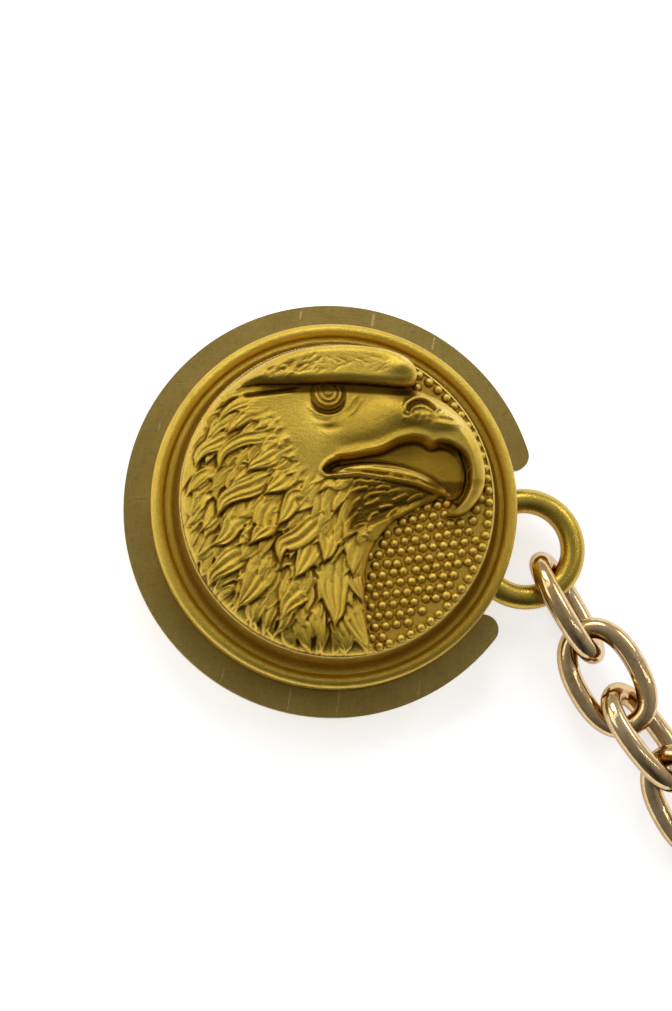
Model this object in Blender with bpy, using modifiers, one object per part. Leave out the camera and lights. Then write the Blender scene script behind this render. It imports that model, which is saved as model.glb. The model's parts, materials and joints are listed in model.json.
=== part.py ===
"""Round eagle-head boss badge with a notched backing plate, screw post, swinging ring and cable chain.

The badge lies face up. The origin is on the badge's axis, on the surface that the thumb nut rests on.
+Z points out of the face and +Y points to the top of the eagle's head. Lengths are in metres.
"""
import math

import bmesh
import bpy
from mathutils import Matrix, Vector

MM = 0.001

# ---------------------------------------------------------------- driving dimensions
GAP = 0.05 * MM                      # play left between pieces that touch

NUT_RADIUS = 6.5 * MM
NUT_HEIGHT = 3.0 * MM
NUT_FLUTES = 30
NUT_FLUTE_DEPTH = 0.3 * MM
NUT_FLUTE_SHAPE = [(0.0, 0), (0.5, 0), (0.66, NUT_FLUTE_DEPTH), (0.84, NUT_FLUTE_DEPTH)]
POST_RADIUS = 2.0 * MM               # M4 screw post
POST_RECESS = 0.35 * MM              # the post's end stops short of the nut's outer face
POST_CHAMFER = 0.35 * MM
POST_CLEARANCE = 0.1 * MM
WASHER_RADIUS = 8.0 * MM
WASHER_THICKNESS = 0.8 * MM

PLATE_RADIUS = 20.65 * MM
PLATE_THICKNESS = 1.0 * MM
NOTCH_HALF_WIDTH = 7.4 * MM
NOTCH_FLOOR_RADIUS = 11.6 * MM       # how far from the badge's axis the notch begins
NOTCH_CORNER_RADIUS = 1.5 * MM

MEDALLION_RADIUS = 18.0 * MM
BACK_WALL_RADIUS = 15.5 * MM         # recess for the closing disc and the hollow above it
DISC_THICKNESS = 0.7 * MM
HOLLOW_HEIGHT = 1.25 * MM
FIELD_RADIUS = 15.3 * MM
FIELD_HEIGHT = 6.35 * MM             # above the medallion's back: the face stands up inside the rim
RIM_HEIGHT = 3.95 * MM
RIM_BEAD_RADIUS = 0.7 * MM
RIM_BEAD_CENTRE = 17.3 * MM          # from the badge's axis
FACE_SIDE = [(15.42, -0.22), (15.56, -0.9), (15.82, -1.8), (16.2, -2.55), (16.62, -2.95)]  # distance from the axis, height over the field, mm
WAIST_RADIUS = 17.55 * MM
WAIST_TOP = 1.5 * MM                 # heights above the medallion's back
WAIST_FOOT = 0.8 * MM
LIP_HEIGHT = 0.6 * MM

PIN_RADIUS = 0.9 * MM
PIN_CIRCLE_RADIUS = 10.3 * MM
PIN_PROTRUSION = 0.8 * MM            # past the plate's back

RING_ANGLE = math.radians(-10.5)     # where the ring leaves the rim
RING_DISTANCE = 19.8 * MM            # badge axis to ring centre
RING_RADIUS = 4.86 * MM              # to the centre of its wire
RING_WIRE_RADIUS = 1.23 * MM
RING_DROP = 1.35 * MM                # ring centre below the medallion's back
EYE_PLAY = 0.27 * MM
EYE_STRAP = 0.8 * MM
EYE_WIDTH = 2.2 * MM

LINK_LENGTH = 12.7 * MM              # outside
LINK_WIDTH = 8.5 * MM
LINK_WIRE_RADIUS = 1.08 * MM
LINK_OVAL_POWER = 0.87               # 1 gives a plain ellipse, less gives flatter sides and ends
LINK_STEPS = 24
LINK_PLAY = 0.06 * MM
CHAIN_HEIGHT = 4.25 * MM             # wire centres above the surface
FIRST_LINK_RING_ANGLE = math.radians(-51.0)

HOOK_WIRE_RADIUS = 1.1 * MM
HOOK_EYE_RADIUS = 2.75 * MM
HOOK_BEND_RADIUS = 4.5 * MM
HOOK_SHANK = 4.6 * MM                # from the eye to the bend's centre
HOOK_SHANK_RISE = 0.45 * MM
HOOK_SHANK_START = 1.0 * MM
HOOK_SHANK_STOP = 1.5 * MM           # short of the bend's centre
HOOK_TIP_REACH = 1.9 * MM
HOOK_HEADING = 97.0
HOOK_ROLL = -14.0
HOOK_SLACK = 0.25 * MM

# heading of each link in the floor plane, roll about its length, and slack at its start
LINK_LAY = [
    (-61.0, 66.0, 0.50 * MM),
    (-61.0, -14.0, 0.30 * MM),
    (-53.0, 50.0, 1.30 * MM),
    (-61.0, -34.0, 0.45 * MM),
    (-35.0, 56.0, 0.35 * MM),
    (-5.0, -30.0, 0.50 * MM),
    (24.0, 58.0, 0.35 * MM),
    (53.0, -30.0, 0.35 * MM),
    (78.0, 64.0, 0.35 * MM),
]

# heights of the stack, upward from the surface
WASHER_Z = NUT_HEIGHT + GAP
PLATE_Z = WASHER_Z + WASHER_THICKNESS + GAP
BACK_Z = PLATE_Z + PLATE_THICKNESS + GAP
FIELD_Z = BACK_Z + FIELD_HEIGHT
RIM_TOP_Z = BACK_Z + RIM_HEIGHT
RING_Z = BACK_Z - RING_DROP
RING_DIRECTION = Vector((math.cos(RING_ANGLE), math.sin(RING_ANGLE), 0))
RING_CENTRE = RING_DIRECTION * RING_DISTANCE + Vector((0, 0, RING_Z))
RING_PIVOT = RING_DIRECTION * (RING_DISTANCE - RING_RADIUS) + Vector((0, 0, RING_Z))

# ---------------------------------------------------------------- scene and materials
for old in list(bpy.data.objects):
    bpy.data.objects.remove(old, do_unlink=True)
badge = bpy.data.collections.new("chain_boss_badge")
bpy.context.scene.collection.children.link(badge)


def metal(name, colour, roughness):
    material = bpy.data.materials.new(name)
    material.use_nodes = True
    shader = material.node_tree.nodes["Principled BSDF"]
    shader.inputs["Base Color"].default_value = (*colour, 1)
    shader.inputs["Roughness"].default_value = roughness
    shader.inputs["Metallic"].default_value = 1
    return material


GILT = metal("satin_gilt_brass", (0.56, 0.40, 0.12), 0.38)
PLATE_BRASS = metal("brushed_plate_brass", (0.30, 0.24, 0.09), 0.5)
PALE_GOLD = metal("polished_pale_gold", (0.66, 0.50, 0.33), 0.14)
PLAIN_BRASS = metal("turned_brass", (0.50, 0.38, 0.16), 0.3)
STEEL = metal("plated_steel", (0.52, 0.51, 0.49), 0.32)


def place(obj, material, location=(0, 0, 0), pivot=None):
    """Put a piece in the badge's collection at a world location, under the pivot it turns on if it has one."""
    badge.objects.link(obj)
    obj.data.materials.append(material)
    if pivot:
        obj.parent = pivot
        location = Vector(location) - pivot.location
    obj.location = location
    return obj


def pivot_at(name, location):
    """An empty on a joint's axis, for the pieces that turn or slide there."""
    empty = bpy.data.objects.new(name, None)
    badge.objects.link(empty)
    empty.location = location
    return empty


# ---------------------------------------------------------------- outline helpers
def arc(centre, radius, start, end, steps):
    """Points along an arc, ends included."""
    return [
        (
            centre[0] + radius * math.cos(start + (end - start) * i / steps),
            centre[1] + radius * math.sin(start + (end - start) * i / steps),
        )
        for i in range(steps + 1)
    ]


def circle(radius, steps, centre=(0, 0)):
    return arc(centre, radius, 0, 2 * math.pi, steps)[:-1]


def flat_piece(name, outlines, thickness):
    """A flat plate from closed outlines; outlines inside the first are holes. It is centred on its thickness."""
    curve = bpy.data.curves.new(name, "CURVE")
    curve.dimensions = "2D"
    curve.fill_mode = "BOTH"
    curve.extrude = thickness / 2
    for outline in outlines:
        spline = curve.splines.new("POLY")
        spline.points.add(len(outline) - 1)
        for point, (x, y) in zip(spline.points, outline):
            point.co = (x, y, 0, 1)
        spline.use_cyclic_u = True
    return bpy.data.objects.new(name, curve)


def wire_piece(name, points, radius, closed):
    """A bent wire along the points."""
    curve = bpy.data.curves.new(name, "CURVE")
    curve.dimensions = "3D"
    curve.bevel_depth = radius
    curve.bevel_resolution = 2
    curve.use_fill_caps = True
    spline = curve.splines.new("POLY")
    spline.points.add(len(points) - 1)
    for point, position in zip(spline.points, points):
        point.co = (*position, 1)
    spline.use_cyclic_u = closed
    spline.use_smooth = True
    return bpy.data.objects.new(name, curve)


def turned_mesh(name, profile, steps):
    """A turned solid from a profile of radius and height that runs from the axis, outside and back to the axis."""
    mesh = bpy.data.meshes.new(name)
    count = len(profile)
    mesh.from_pydata([(r, 0, z) for r, z in profile], [(i, i + 1) for i in range(count - 1)], [])
    guide = bpy.data.objects.new(name, mesh)
    badge.objects.link(guide)
    screw = guide.modifiers.new("turn", "SCREW")
    screw.steps = steps
    screw.render_steps = steps
    screw.use_merge_vertices = True
    screw.merge_threshold = 0.000001
    bpy.context.view_layer.update()
    evaluated = guide.evaluated_get(bpy.context.evaluated_depsgraph_get())
    turned = bpy.data.meshes.new_from_object(evaluated)
    bpy.data.objects.remove(guide, do_unlink=True)
    return turned


# ---------------------------------------------------------------- backing plate
def plate_outline():
    """A disc with a straight-sided notch on the ring's side, rounded where the notch meets the edge."""
    rounding = NOTCH_CORNER_RADIUS
    across = NOTCH_HALF_WIDTH + rounding
    along = math.sqrt((PLATE_RADIUS - rounding) ** 2 - across**2)
    edge = math.atan2(across, along)
    outline = arc((0, 0), PLATE_RADIUS, edge, 2 * math.pi - edge, 110)
    outline += arc((along, -across), rounding, -edge, math.pi / 2, 8)[1:]
    inner = rounding
    floor = NOTCH_FLOOR_RADIUS + inner
    side = NOTCH_HALF_WIDTH - inner
    outline += arc((floor, -side), inner, -math.pi / 2, -math.pi, 6)
    outline += arc((floor, side), inner, math.pi, math.pi / 2, 6)
    outline += arc((along, across), rounding, -math.pi / 2, edge, 8)[:-1]
    return outline


PIN_ANGLES = [math.pi / 2, -math.pi / 2]
pin_holes = [
    circle(
        PIN_RADIUS + POST_CLEARANCE,
        16,
        (PIN_CIRCLE_RADIUS * math.cos(a), PIN_CIRCLE_RADIUS * math.sin(a)),
    )
    for a in PIN_ANGLES
]
plate = flat_piece(
    "backing_plate",
    [plate_outline(), circle(POST_RADIUS + POST_CLEARANCE, 24)] + pin_holes,
    PLATE_THICKNESS,
)
place(plate, PLATE_BRASS, (0, 0, PLATE_Z + PLATE_THICKNESS / 2))
plate.rotation_euler.z = RING_ANGLE

# ---------------------------------------------------------------- eagle-head face shell
# rounded masses of the relief: centre x and y, half width, half height, rise above the field
RELIEF_MASSES = [
    (-3.2, 4.0, 12.0, 9.9, 2.4),     # skull and cheek
    (-6.2, -5.8, 10.2, 9.4, 2.0),    # neck
    (8.2, 6.1, 6.5, 4.5, 2.6),       # beak
    (11.4, 1.9, 2.9, 4.5, 2.1),      # hook of the beak
    (0.1, 12.6, 7.8, 2.2, 3.3),      # brow
    (4.3, 0.9, 6.1, 2.3, 1.8),       # lower mandible
]


def relief_rise(x, y):
    """Height of the eagle's head over the field, as a union of rounded masses."""
    rise = 0
    for cx, cy, half_x, half_y, height in RELIEF_MASSES:
        inside = 1 - ((x / MM - cx) / half_x) ** 2 - ((y / MM - cy) / half_y) ** 2
        if inside > 0:
            rise = max(rise, height * MM * inside**0.5)
    return rise


def face_profile():
    """From the field's centre down the face's side, over the rim's bead to the base lip, then up inside the hollow."""
    field = [(FIELD_RADIUS * i / 12, FIELD_Z) for i in range(13)]
    side = [(radius * MM, FIELD_Z + rise * MM) for radius, rise in FACE_SIDE]
    bead_centre = (RIM_BEAD_CENTRE, RIM_TOP_Z - RIM_BEAD_RADIUS)
    bead = arc(bead_centre, RIM_BEAD_RADIUS, math.radians(165), math.radians(-50), 6)
    lip = [
        (WAIST_RADIUS, BACK_Z + WAIST_TOP),
        (WAIST_RADIUS, BACK_Z + WAIST_FOOT),
        (MEDALLION_RADIUS, BACK_Z + LIP_HEIGHT),
        (MEDALLION_RADIUS, BACK_Z),
    ]
    ceiling = BACK_Z + HOLLOW_HEIGHT
    hollow = [(BACK_WALL_RADIUS, BACK_Z), (BACK_WALL_RADIUS, ceiling), (0, ceiling)]
    return field + side + bead + lip + hollow


face_mesh = turned_mesh("face_shell", face_profile(), 72)
for vertex in face_mesh.vertices:
    if math.hypot(vertex.co.x, vertex.co.y) < FIELD_RADIUS - GAP and vertex.co.z > FIELD_Z - GAP:
        vertex.co.z += relief_rise(vertex.co.x, vertex.co.y)
face_mesh.shade_smooth()
place(bpy.data.objects.new("face_shell", face_mesh), GILT)

# ---------------------------------------------------------------- back of the medallion
disc = flat_piece("closing_disc", [circle(BACK_WALL_RADIUS - 2 * GAP, 56)], DISC_THICKNESS)
place(disc, PLAIN_BRASS, (0, 0, BACK_Z + DISC_THICKNESS / 2))

post_top = BACK_Z - GAP
post_mesh = turned_mesh(
    "threaded_post",
    [
        (0, post_top),
        (POST_RADIUS, post_top),
        (POST_RADIUS, POST_RECESS + POST_CHAMFER),
        (POST_RADIUS - POST_CHAMFER, POST_RECESS),
        (0, POST_RECESS),
    ],
    24,
)
place(bpy.data.objects.new("threaded_post", post_mesh), PLAIN_BRASS)


def pin_mesh():
    """A plain locating pin with its axis along Z, centred on its length."""
    mesh = bpy.data.meshes.new("locating_pin")
    solid = bmesh.new()
    length = PLATE_THICKNESS + PIN_PROTRUSION
    bmesh.ops.create_cone(
        solid, cap_ends=True, segments=16, radius1=PIN_RADIUS, radius2=PIN_RADIUS, depth=length
    )
    solid.to_mesh(mesh)
    solid.free()
    return mesh


shared_pin = pin_mesh()
for number, angle in enumerate(PIN_ANGLES, 1):
    pin = bpy.data.objects.new(f"locating_pin_{number}", shared_pin.copy())
    turn = angle + RING_ANGLE
    middle = BACK_Z - GAP - (PLATE_THICKNESS + PIN_PROTRUSION) / 2
    place(
        pin,
        PLAIN_BRASS,
        (PIN_CIRCLE_RADIUS * math.cos(turn), PIN_CIRCLE_RADIUS * math.sin(turn), middle),
    )


def eye_outline():
    """A U-shaped strap, seen along the hole: x is radial from the ring's wire, y is upward from it."""
    inside = RING_WIRE_RADIUS + EYE_PLAY
    outside = inside + EYE_STRAP
    top = RING_DROP - GAP
    return (
        [(-outside, top)]
        + arc((0, 0), outside, math.pi, 2 * math.pi, 14)
        + [(outside, top), (inside, top)]
        + arc((0, 0), inside, 2 * math.pi, math.pi, 14)
        + [(-inside, top)]
    )


eye = flat_piece("ring_eye", [eye_outline()], EYE_WIDTH)
place(eye, GILT, RING_PIVOT)
eye.rotation_euler = (math.pi / 2, 0, RING_ANGLE)

# ---------------------------------------------------------------- washer and thumb nut
nut_slide = pivot_at("nut_slide_axis", (0, 0, 0))
washer_slide = pivot_at("washer_slide_axis", (0, 0, WASHER_Z))
bore = POST_RADIUS + POST_CLEARANCE
washer = flat_piece("washer", [circle(WASHER_RADIUS, 48), circle(bore, 24)], WASHER_THICKNESS)
place(washer, STEEL, (0, 0, WASHER_Z + WASHER_THICKNESS / 2), washer_slide)


def knurled_outline():
    """A circle with shallow flutes cut round it."""
    outline = []
    for flute in range(NUT_FLUTES):
        for part, depth in NUT_FLUTE_SHAPE:
            angle = 2 * math.pi * (flute + part) / NUT_FLUTES
            outline.append(((NUT_RADIUS - depth) * math.cos(angle), (NUT_RADIUS - depth) * math.sin(angle)))
    return outline


nut = flat_piece("thumb_nut", [knurled_outline(), circle(bore, 24)], NUT_HEIGHT)
place(nut, PLAIN_BRASS, (0, 0, NUT_HEIGHT / 2), nut_slide)

# ---------------------------------------------------------------- swinging ring
ring_swing = pivot_at("ring_swing_axis", RING_PIVOT)
bpy.ops.mesh.primitive_torus_add(
    major_radius=RING_RADIUS, minor_radius=RING_WIRE_RADIUS, major_segments=36, minor_segments=10
)
ring = bpy.context.object
ring.name = "chain_ring"
ring.data.shade_smooth()
for collection in list(ring.users_collection):
    collection.objects.unlink(ring)
place(ring, GILT, RING_CENTRE, ring_swing)


# ---------------------------------------------------------------- cable chain
def lay_directions(heading, roll, climb):
    """A piece's length direction, its width direction and its normal, as it lies."""
    heading = math.radians(heading)
    roll = math.radians(roll)
    climb = math.radians(climb)
    flat = Vector((math.cos(heading), math.sin(heading), 0))
    along = flat * math.cos(climb) + Vector((0, 0, math.sin(climb)))
    left = Vector((math.sin(heading), -math.cos(heading), 0))
    up = along.cross(left) * -1
    across = left * math.cos(roll) + up * math.sin(roll)
    return along, across, along.cross(across)


def link_points():
    """The wire's centre line: an oval with its sides and ends a little flattened, about the link's middle."""
    half_length = LINK_LENGTH / 2 - LINK_WIRE_RADIUS
    half_width = LINK_WIDTH / 2 - LINK_WIRE_RADIUS
    points = []
    for step in range(LINK_STEPS):
        turn = 2 * math.pi * (step + 0.5) / LINK_STEPS
        x = half_length * abs(math.cos(turn)) ** LINK_OVAL_POWER
        y = half_width * abs(math.sin(turn)) ** LINK_OVAL_POWER
        points.append((math.copysign(x, math.cos(turn)), math.copysign(y, math.sin(turn))))
    return points


def place_wire(name, outline, radius, closed, middle, axes, hinge, material):
    """A flat bent wire laid with its own x and y on the first two axes, with its origin on its hinge."""
    along, across, normal = axes
    turn = Matrix((along, across, normal)).transposed()
    offset = turn.transposed() @ (middle - hinge)
    points = [(x + offset.x, y + offset.y, offset.z) for x, y in outline]
    wire = place(wire_piece(name, points, radius, closed), material, hinge)
    wire.rotation_euler = turn.to_euler()
    return wire


around = FIRST_LINK_RING_ANGLE
hinge = RING_CENTRE + Vector((math.cos(around), math.sin(around), 0)) * RING_RADIUS
held_radius = RING_WIRE_RADIUS
half_length = LINK_LENGTH / 2 - LINK_WIRE_RADIUS
previous_along = None
CHAIN_HINGES = []                    # hinge point of each link and of the hook
for number, (heading, roll, slack) in enumerate(LINK_LAY, 1):
    rise = CHAIN_HEIGHT - RING_Z if number == 1 else 0
    axes = lay_directions(heading, roll, math.degrees(math.asin(rise / LINK_LENGTH)))
    along = axes[0]
    pull = along if previous_along is None else (along + previous_along).normalized()
    start = hinge - pull * (held_radius + LINK_WIRE_RADIUS + LINK_PLAY + slack)
    middle = start + along * half_length
    place_wire(
        f"chain_link_{number}", link_points(), LINK_WIRE_RADIUS, True, middle, axes, hinge, PALE_GOLD
    )
    CHAIN_HINGES.append((hinge.copy(), axes))
    hinge = middle + along * half_length
    held_radius = LINK_WIRE_RADIUS
    previous_along = along


# ---------------------------------------------------------------- end hook
def hook_points():
    """An eye round the last link, a short shank and an open bend, in the hook's own plane."""
    eye_turn = arc((0, 0), HOOK_EYE_RADIUS, math.radians(-55), math.radians(-335), 16)
    shank_y = eye_turn[-1][1] + HOOK_SHANK_RISE
    bend_x = HOOK_EYE_RADIUS + HOOK_SHANK
    shank = [(HOOK_EYE_RADIUS + HOOK_SHANK_START, shank_y), (bend_x - HOOK_SHANK_STOP, shank_y)]
    bend_centre = (bend_x, shank_y - HOOK_BEND_RADIUS)
    bend = arc(bend_centre, HOOK_BEND_RADIUS, math.pi / 2, math.radians(-115), 14)
    tip = (bend[-1][0] - HOOK_TIP_REACH, bend[-1][1])
    return eye_turn + shank + bend + [tip]


axes = lay_directions(HOOK_HEADING, HOOK_ROLL, 0)
pull = (axes[0] + previous_along).normalized()
start = hinge - pull * (LINK_WIRE_RADIUS + HOOK_WIRE_RADIUS + LINK_PLAY + HOOK_SLACK)
middle = start + axes[0] * HOOK_EYE_RADIUS
place_wire("end_hook", hook_points(), HOOK_WIRE_RADIUS, False, middle, axes, hinge, PALE_GOLD)
CHAIN_HINGES.append((hinge.copy(), axes))
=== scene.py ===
"""Looks for the eagle-head boss badge: struck relief, beaded field, brushed plate, ring and polished chain.

Heights and places are in millimetres in the shapes' own functions and turn into metres when a mesh is made.
"""
import json
import math

import bmesh
import bpy
import numpy as np
from mathutils import Matrix, Vector

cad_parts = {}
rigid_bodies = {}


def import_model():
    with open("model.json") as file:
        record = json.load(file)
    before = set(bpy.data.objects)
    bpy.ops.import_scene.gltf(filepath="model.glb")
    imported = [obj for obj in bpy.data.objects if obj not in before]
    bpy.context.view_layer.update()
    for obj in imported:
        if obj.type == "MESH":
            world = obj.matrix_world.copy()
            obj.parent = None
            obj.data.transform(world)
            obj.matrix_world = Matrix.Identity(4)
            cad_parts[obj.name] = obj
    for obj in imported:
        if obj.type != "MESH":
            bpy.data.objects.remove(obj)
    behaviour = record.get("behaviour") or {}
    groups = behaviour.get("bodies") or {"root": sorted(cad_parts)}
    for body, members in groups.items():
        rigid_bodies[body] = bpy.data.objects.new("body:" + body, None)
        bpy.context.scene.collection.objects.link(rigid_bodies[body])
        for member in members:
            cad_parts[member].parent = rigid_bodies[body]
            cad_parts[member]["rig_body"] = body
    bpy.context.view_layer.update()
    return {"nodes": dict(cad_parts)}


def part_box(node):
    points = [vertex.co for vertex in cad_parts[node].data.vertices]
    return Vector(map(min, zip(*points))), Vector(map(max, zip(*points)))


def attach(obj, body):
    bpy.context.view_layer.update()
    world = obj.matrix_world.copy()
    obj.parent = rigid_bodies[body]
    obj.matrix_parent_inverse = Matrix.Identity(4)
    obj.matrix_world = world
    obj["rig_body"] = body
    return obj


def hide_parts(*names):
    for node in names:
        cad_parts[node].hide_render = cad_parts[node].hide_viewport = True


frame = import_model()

MM = 0.001
nodes = frame["nodes"]
pieces = bpy.data.collections.new("badge_looks")
bpy.context.scene.collection.children.link(pieces)

# ---------------------------------------------------------------- sizes read from the frame, in millimetres
shell_low, shell_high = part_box("face_shell")
disc_low, disc_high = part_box("closing_disc")
nut_low, nut_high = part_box("thumb_nut")
post_low, post_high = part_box("threaded_post")
washer_low, washer_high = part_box("washer")
BACK_Z = shell_low.z / MM
MEDALLION_R = (shell_high.x - shell_low.x) / 2 / MM
FIELD_R = 15.3
FIELD_Z = BACK_Z + 6.35
RIM_TOP_Z = BACK_Z + 3.95


def add_piece(name, mesh, material, body):
    """A finished mesh as a smooth-shaded object that rides on a body."""
    piece = bpy.data.objects.new(name, mesh)
    pieces.objects.link(piece)
    mesh.materials.append(material)
    mesh.shade_smooth()
    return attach(piece, body)


def mesh_from(name, points_mm, faces):
    """A mesh from points in millimetres."""
    mesh = bpy.data.meshes.new(name)
    mesh.from_pydata((np.asarray(points_mm, float) * MM).tolist(), [], faces)
    mesh.update()
    return mesh


# ---------------------------------------------------------------- materials
class Nodes:
    """A short way to build the shader of a new material or world."""

    def __init__(self, owner):
        owner.use_nodes = True
        self.owner = owner
        self.tree = owner.node_tree
        self.coordinates = self.tree.nodes.new("ShaderNodeTexCoord").outputs

    def put(self, item, socket):
        """Link an output to a socket, or set the socket to a number, a vector or a colour."""
        if isinstance(item, bpy.types.NodeSocket):
            self.tree.links.new(item, socket)
        else:
            socket.default_value = (*item, 1) if socket.type == "RGBA" else item

    def node(self, kind, output, **settings):
        """An output of a new node, with its own settings and its sockets given by name."""
        node = self.tree.nodes.new("ShaderNode" + kind)
        for key, item in settings.items():
            if hasattr(node, key):
                setattr(node, key, item)
            else:
                self.put(item, node.inputs[key.replace("_", " ")])
        return node.outputs[output]

    def scaled(self, scale, turn=0):
        """Object coordinates, scaled per millimetre along each axis and then turned by some degrees."""
        scale, rotation = [s / MM for s in scale], (0, 0, math.radians(turn))
        place = self.coordinates["Object"]
        return self.node("Mapping", "Vector", Vector=place, Scale=scale, Rotation=rotation)

    def noise(self, vector, detail=3.0, roughness=0.5):
        return self.node("TexNoise", "Fac", Vector=vector, Scale=1.0, Detail=detail, Roughness=roughness)

    def cloud(self, per_mm, detail=3.0, roughness=0.5):
        """Noise that is the same size every way."""
        return self.noise(self.scaled((per_mm,) * 3), detail, roughness)

    def remap(self, value, low, high, to_low, to_high):
        ends = {"From_Min": low, "From_Max": high, "To_Min": to_low, "To_Max": to_high}
        return self.node("MapRange", "Result", clamp=True, Value=value, **ends)

    def mix(self, factor, first, second):
        node = self.tree.nodes.new("ShaderNodeMix")
        node.data_type = "RGBA"
        for number, item in ((0, factor), (6, first), (7, second)):
            self.put(item, node.inputs[number])
        return node.outputs[2]

    def coats(self, colour, *layers):
        """A colour under layers: each a value, its range, the amounts at the range's ends and a colour."""
        for value, low, high, least, most, coat in layers:
            colour = self.mix(self.remap(value, low, high, least, most), colour, coat)
        return colour

    def maths(self, operation, first, second=0):
        node = self.tree.nodes.new("ShaderNodeMath")
        node.operation = operation
        self.put(first, node.inputs[0])
        self.put(second, node.inputs[1])
        return node.outputs["Value"]

    def plus(self, first, second):
        return self.maths("ADD", first, second)

    def times(self, first, second):
        return self.maths("MULTIPLY", first, second)

    def size_of(self, vector, part):
        """The size, without its sign, of a vector's X, Y or Z."""
        return self.maths("ABSOLUTE", self.node("SeparateXYZ", part, Vector=vector))

    def stroke(self, x, y, length, half_width, lean):
        """A straight mark in the badge's plane, 1 on it and 0 off it; lean is in degrees to the right."""
        place = self.node(
            "Mapping", "Vector", vector_type="TEXTURE", Vector=self.coordinates["Object"],
            Location=(x * MM, y * MM, 0), Rotation=(0, 0, -math.radians(lean)),
            Scale=(half_width * MM, length / 2 * MM, 1),
        )
        across = self.remap(self.size_of(place, "X"), 0.5, 1.0, 1, 0)
        return self.times(across, self.remap(self.size_of(place, "Y"), 0.8, 1.0, 1, 0))

    def recess(self):
        """The mark that pieces carry: 1 deep in a recess, 0 on the level, -1 on a crest."""
        return self.node("Attribute", "Fac", attribute_name="recess")

    def bump(self, height, distance_mm):
        return self.node("Bump", "Normal", Height=height, Distance=distance_mm * MM)

    def finish(self, **sockets):
        """The material, with outputs or values put on its shader's sockets."""
        shader = self.tree.nodes["Principled BSDF"]
        for key, item in sockets.items():
            self.put(item, shader.inputs[key.replace("_", " ")])
        return self.owner


def gilt_material(name, tone=1.0, smoothest=0.30, blast=1.0):
    """Satin gilt: bead-blast grain, slow tone changes, brown in recesses that is partly patina and partly
    painted shade, and painted highlights on crests.
    """
    m = Nodes(bpy.data.materials.new(name))
    slow, patch, grain = m.cloud(0.16), m.cloud(0.9, 4, 0.6), m.cloud(6, 4, 0.7)
    mark = m.recess()
    gold, light, dull, pitted = (
        tuple(part * tone for part in colour)
        for colour in ((0.76, 0.515, 0.070), (0.84, 0.59, 0.092), (0.64, 0.41, 0.06), (0.42, 0.275, 0.04))
    )
    # the recess mark paints colour: a pale painted highlight on crests, and in hollows orange and dark brown
    # that are painted shade and painted gold-on-gold reflection, with some patina; crests are also a little
    # smoother
    colour = m.coats(
        gold,
        (slow, 0.35, 0.65, 0, 1, light),
        (patch, 0.45, 0.75, 0, 0.35, dull),
        (grain, 0.46, 0.70, 0, 0.55 * blast, pitted),
        (mark, -0.7, 0.0, 0.55, 0.0, (0.95, 0.76, 0.26)),
        (mark, 0.0, 0.45, 0.0, 0.78, (0.36, 0.195, 0.014)),
        (mark, 0.45, 1.0, 0.0, 0.85, (0.085, 0.042, 0.004)),
    )
    mixed = m.plus(m.times(patch, 0.6), m.times(grain, 0.4))
    worn = m.remap(mark, -0.9, -0.1, -0.10, 0.0)
    roughness = m.plus(m.remap(mixed, 0.3, 0.7, smoothest, smoothest + 0.14), worn)
    normal = m.bump(m.plus(grain, m.times(m.cloud(2.2, 3, 0.6), 0.8)), 0.05 * blast)
    return m.finish(Base_Color=colour, Roughness=roughness, Normal=normal, Metallic=1.0)


# the plate's score marks: x, y, length, half width and lean
PLATE_SCORES = [
    (-4.25, -18.9, 2.2, 0.05, 8), (8.6, -17.7, 1.6, 0.04, 8), (-10.8, -16.6, 1.7, 0.05, 14),
    (0.55, -19.2, 2.5, 0.06, 7), (4.1, 19.3, 1.4, 0.16, 10), (-3.2, 19.6, 1.0, 0.10, 8),
    (-17.2, 8.1, 1.1, 0.06, 10), (10.2, 17.0, 1.4, 0.10, 12),
]


def plate_material():
    """Rolled brass sheet: mottled tarnish, short crossing brush marks and a few slanted score marks."""
    m = Nodes(bpy.data.materials.new("brushed_plate_brass"))
    brush = m.noise(m.scaled((7, 0.5, 1), -9), 5, 0.75)
    cross = m.noise(m.scaled((0.5, 6, 1), -52), 4, 0.75)
    cloud, fleck = m.cloud(0.22, 5, 0.6), m.cloud(3.0, 4, 0.7)
    score = 0.0
    for place in PLATE_SCORES:
        score = m.maths("MAXIMUM", m.stroke(*place), score)
    score = m.times(score, m.remap(fleck, 0.35, 0.6, 0.65, 0.25))
    colour = m.coats(
        (0.335, 0.236, 0.062),
        (cloud, 0.3, 0.7, 0, 1, (0.425, 0.305, 0.082)),
        (brush, 0.45, 0.75, 0, 0.35, (0.54, 0.41, 0.14)),
        (cross, 0.52, 0.75, 0, 0.3, (0.26, 0.18, 0.05)),
        (fleck, 0.52, 0.75, 0, 0.6, (0.20, 0.145, 0.045)),
    )
    colour = m.mix(score, colour, (0.78, 0.68, 0.36))
    brushed = m.plus(brush, cross)
    roughness = m.remap(m.times(brushed, 0.5), 0.3, 0.7, 0.38, 0.58)
    height = m.plus(m.plus(brushed, m.times(score, -1.2)), fleck)
    return m.finish(Base_Color=colour, Roughness=roughness, Normal=m.bump(height, 0.020), Metallic=1.0)


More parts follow.
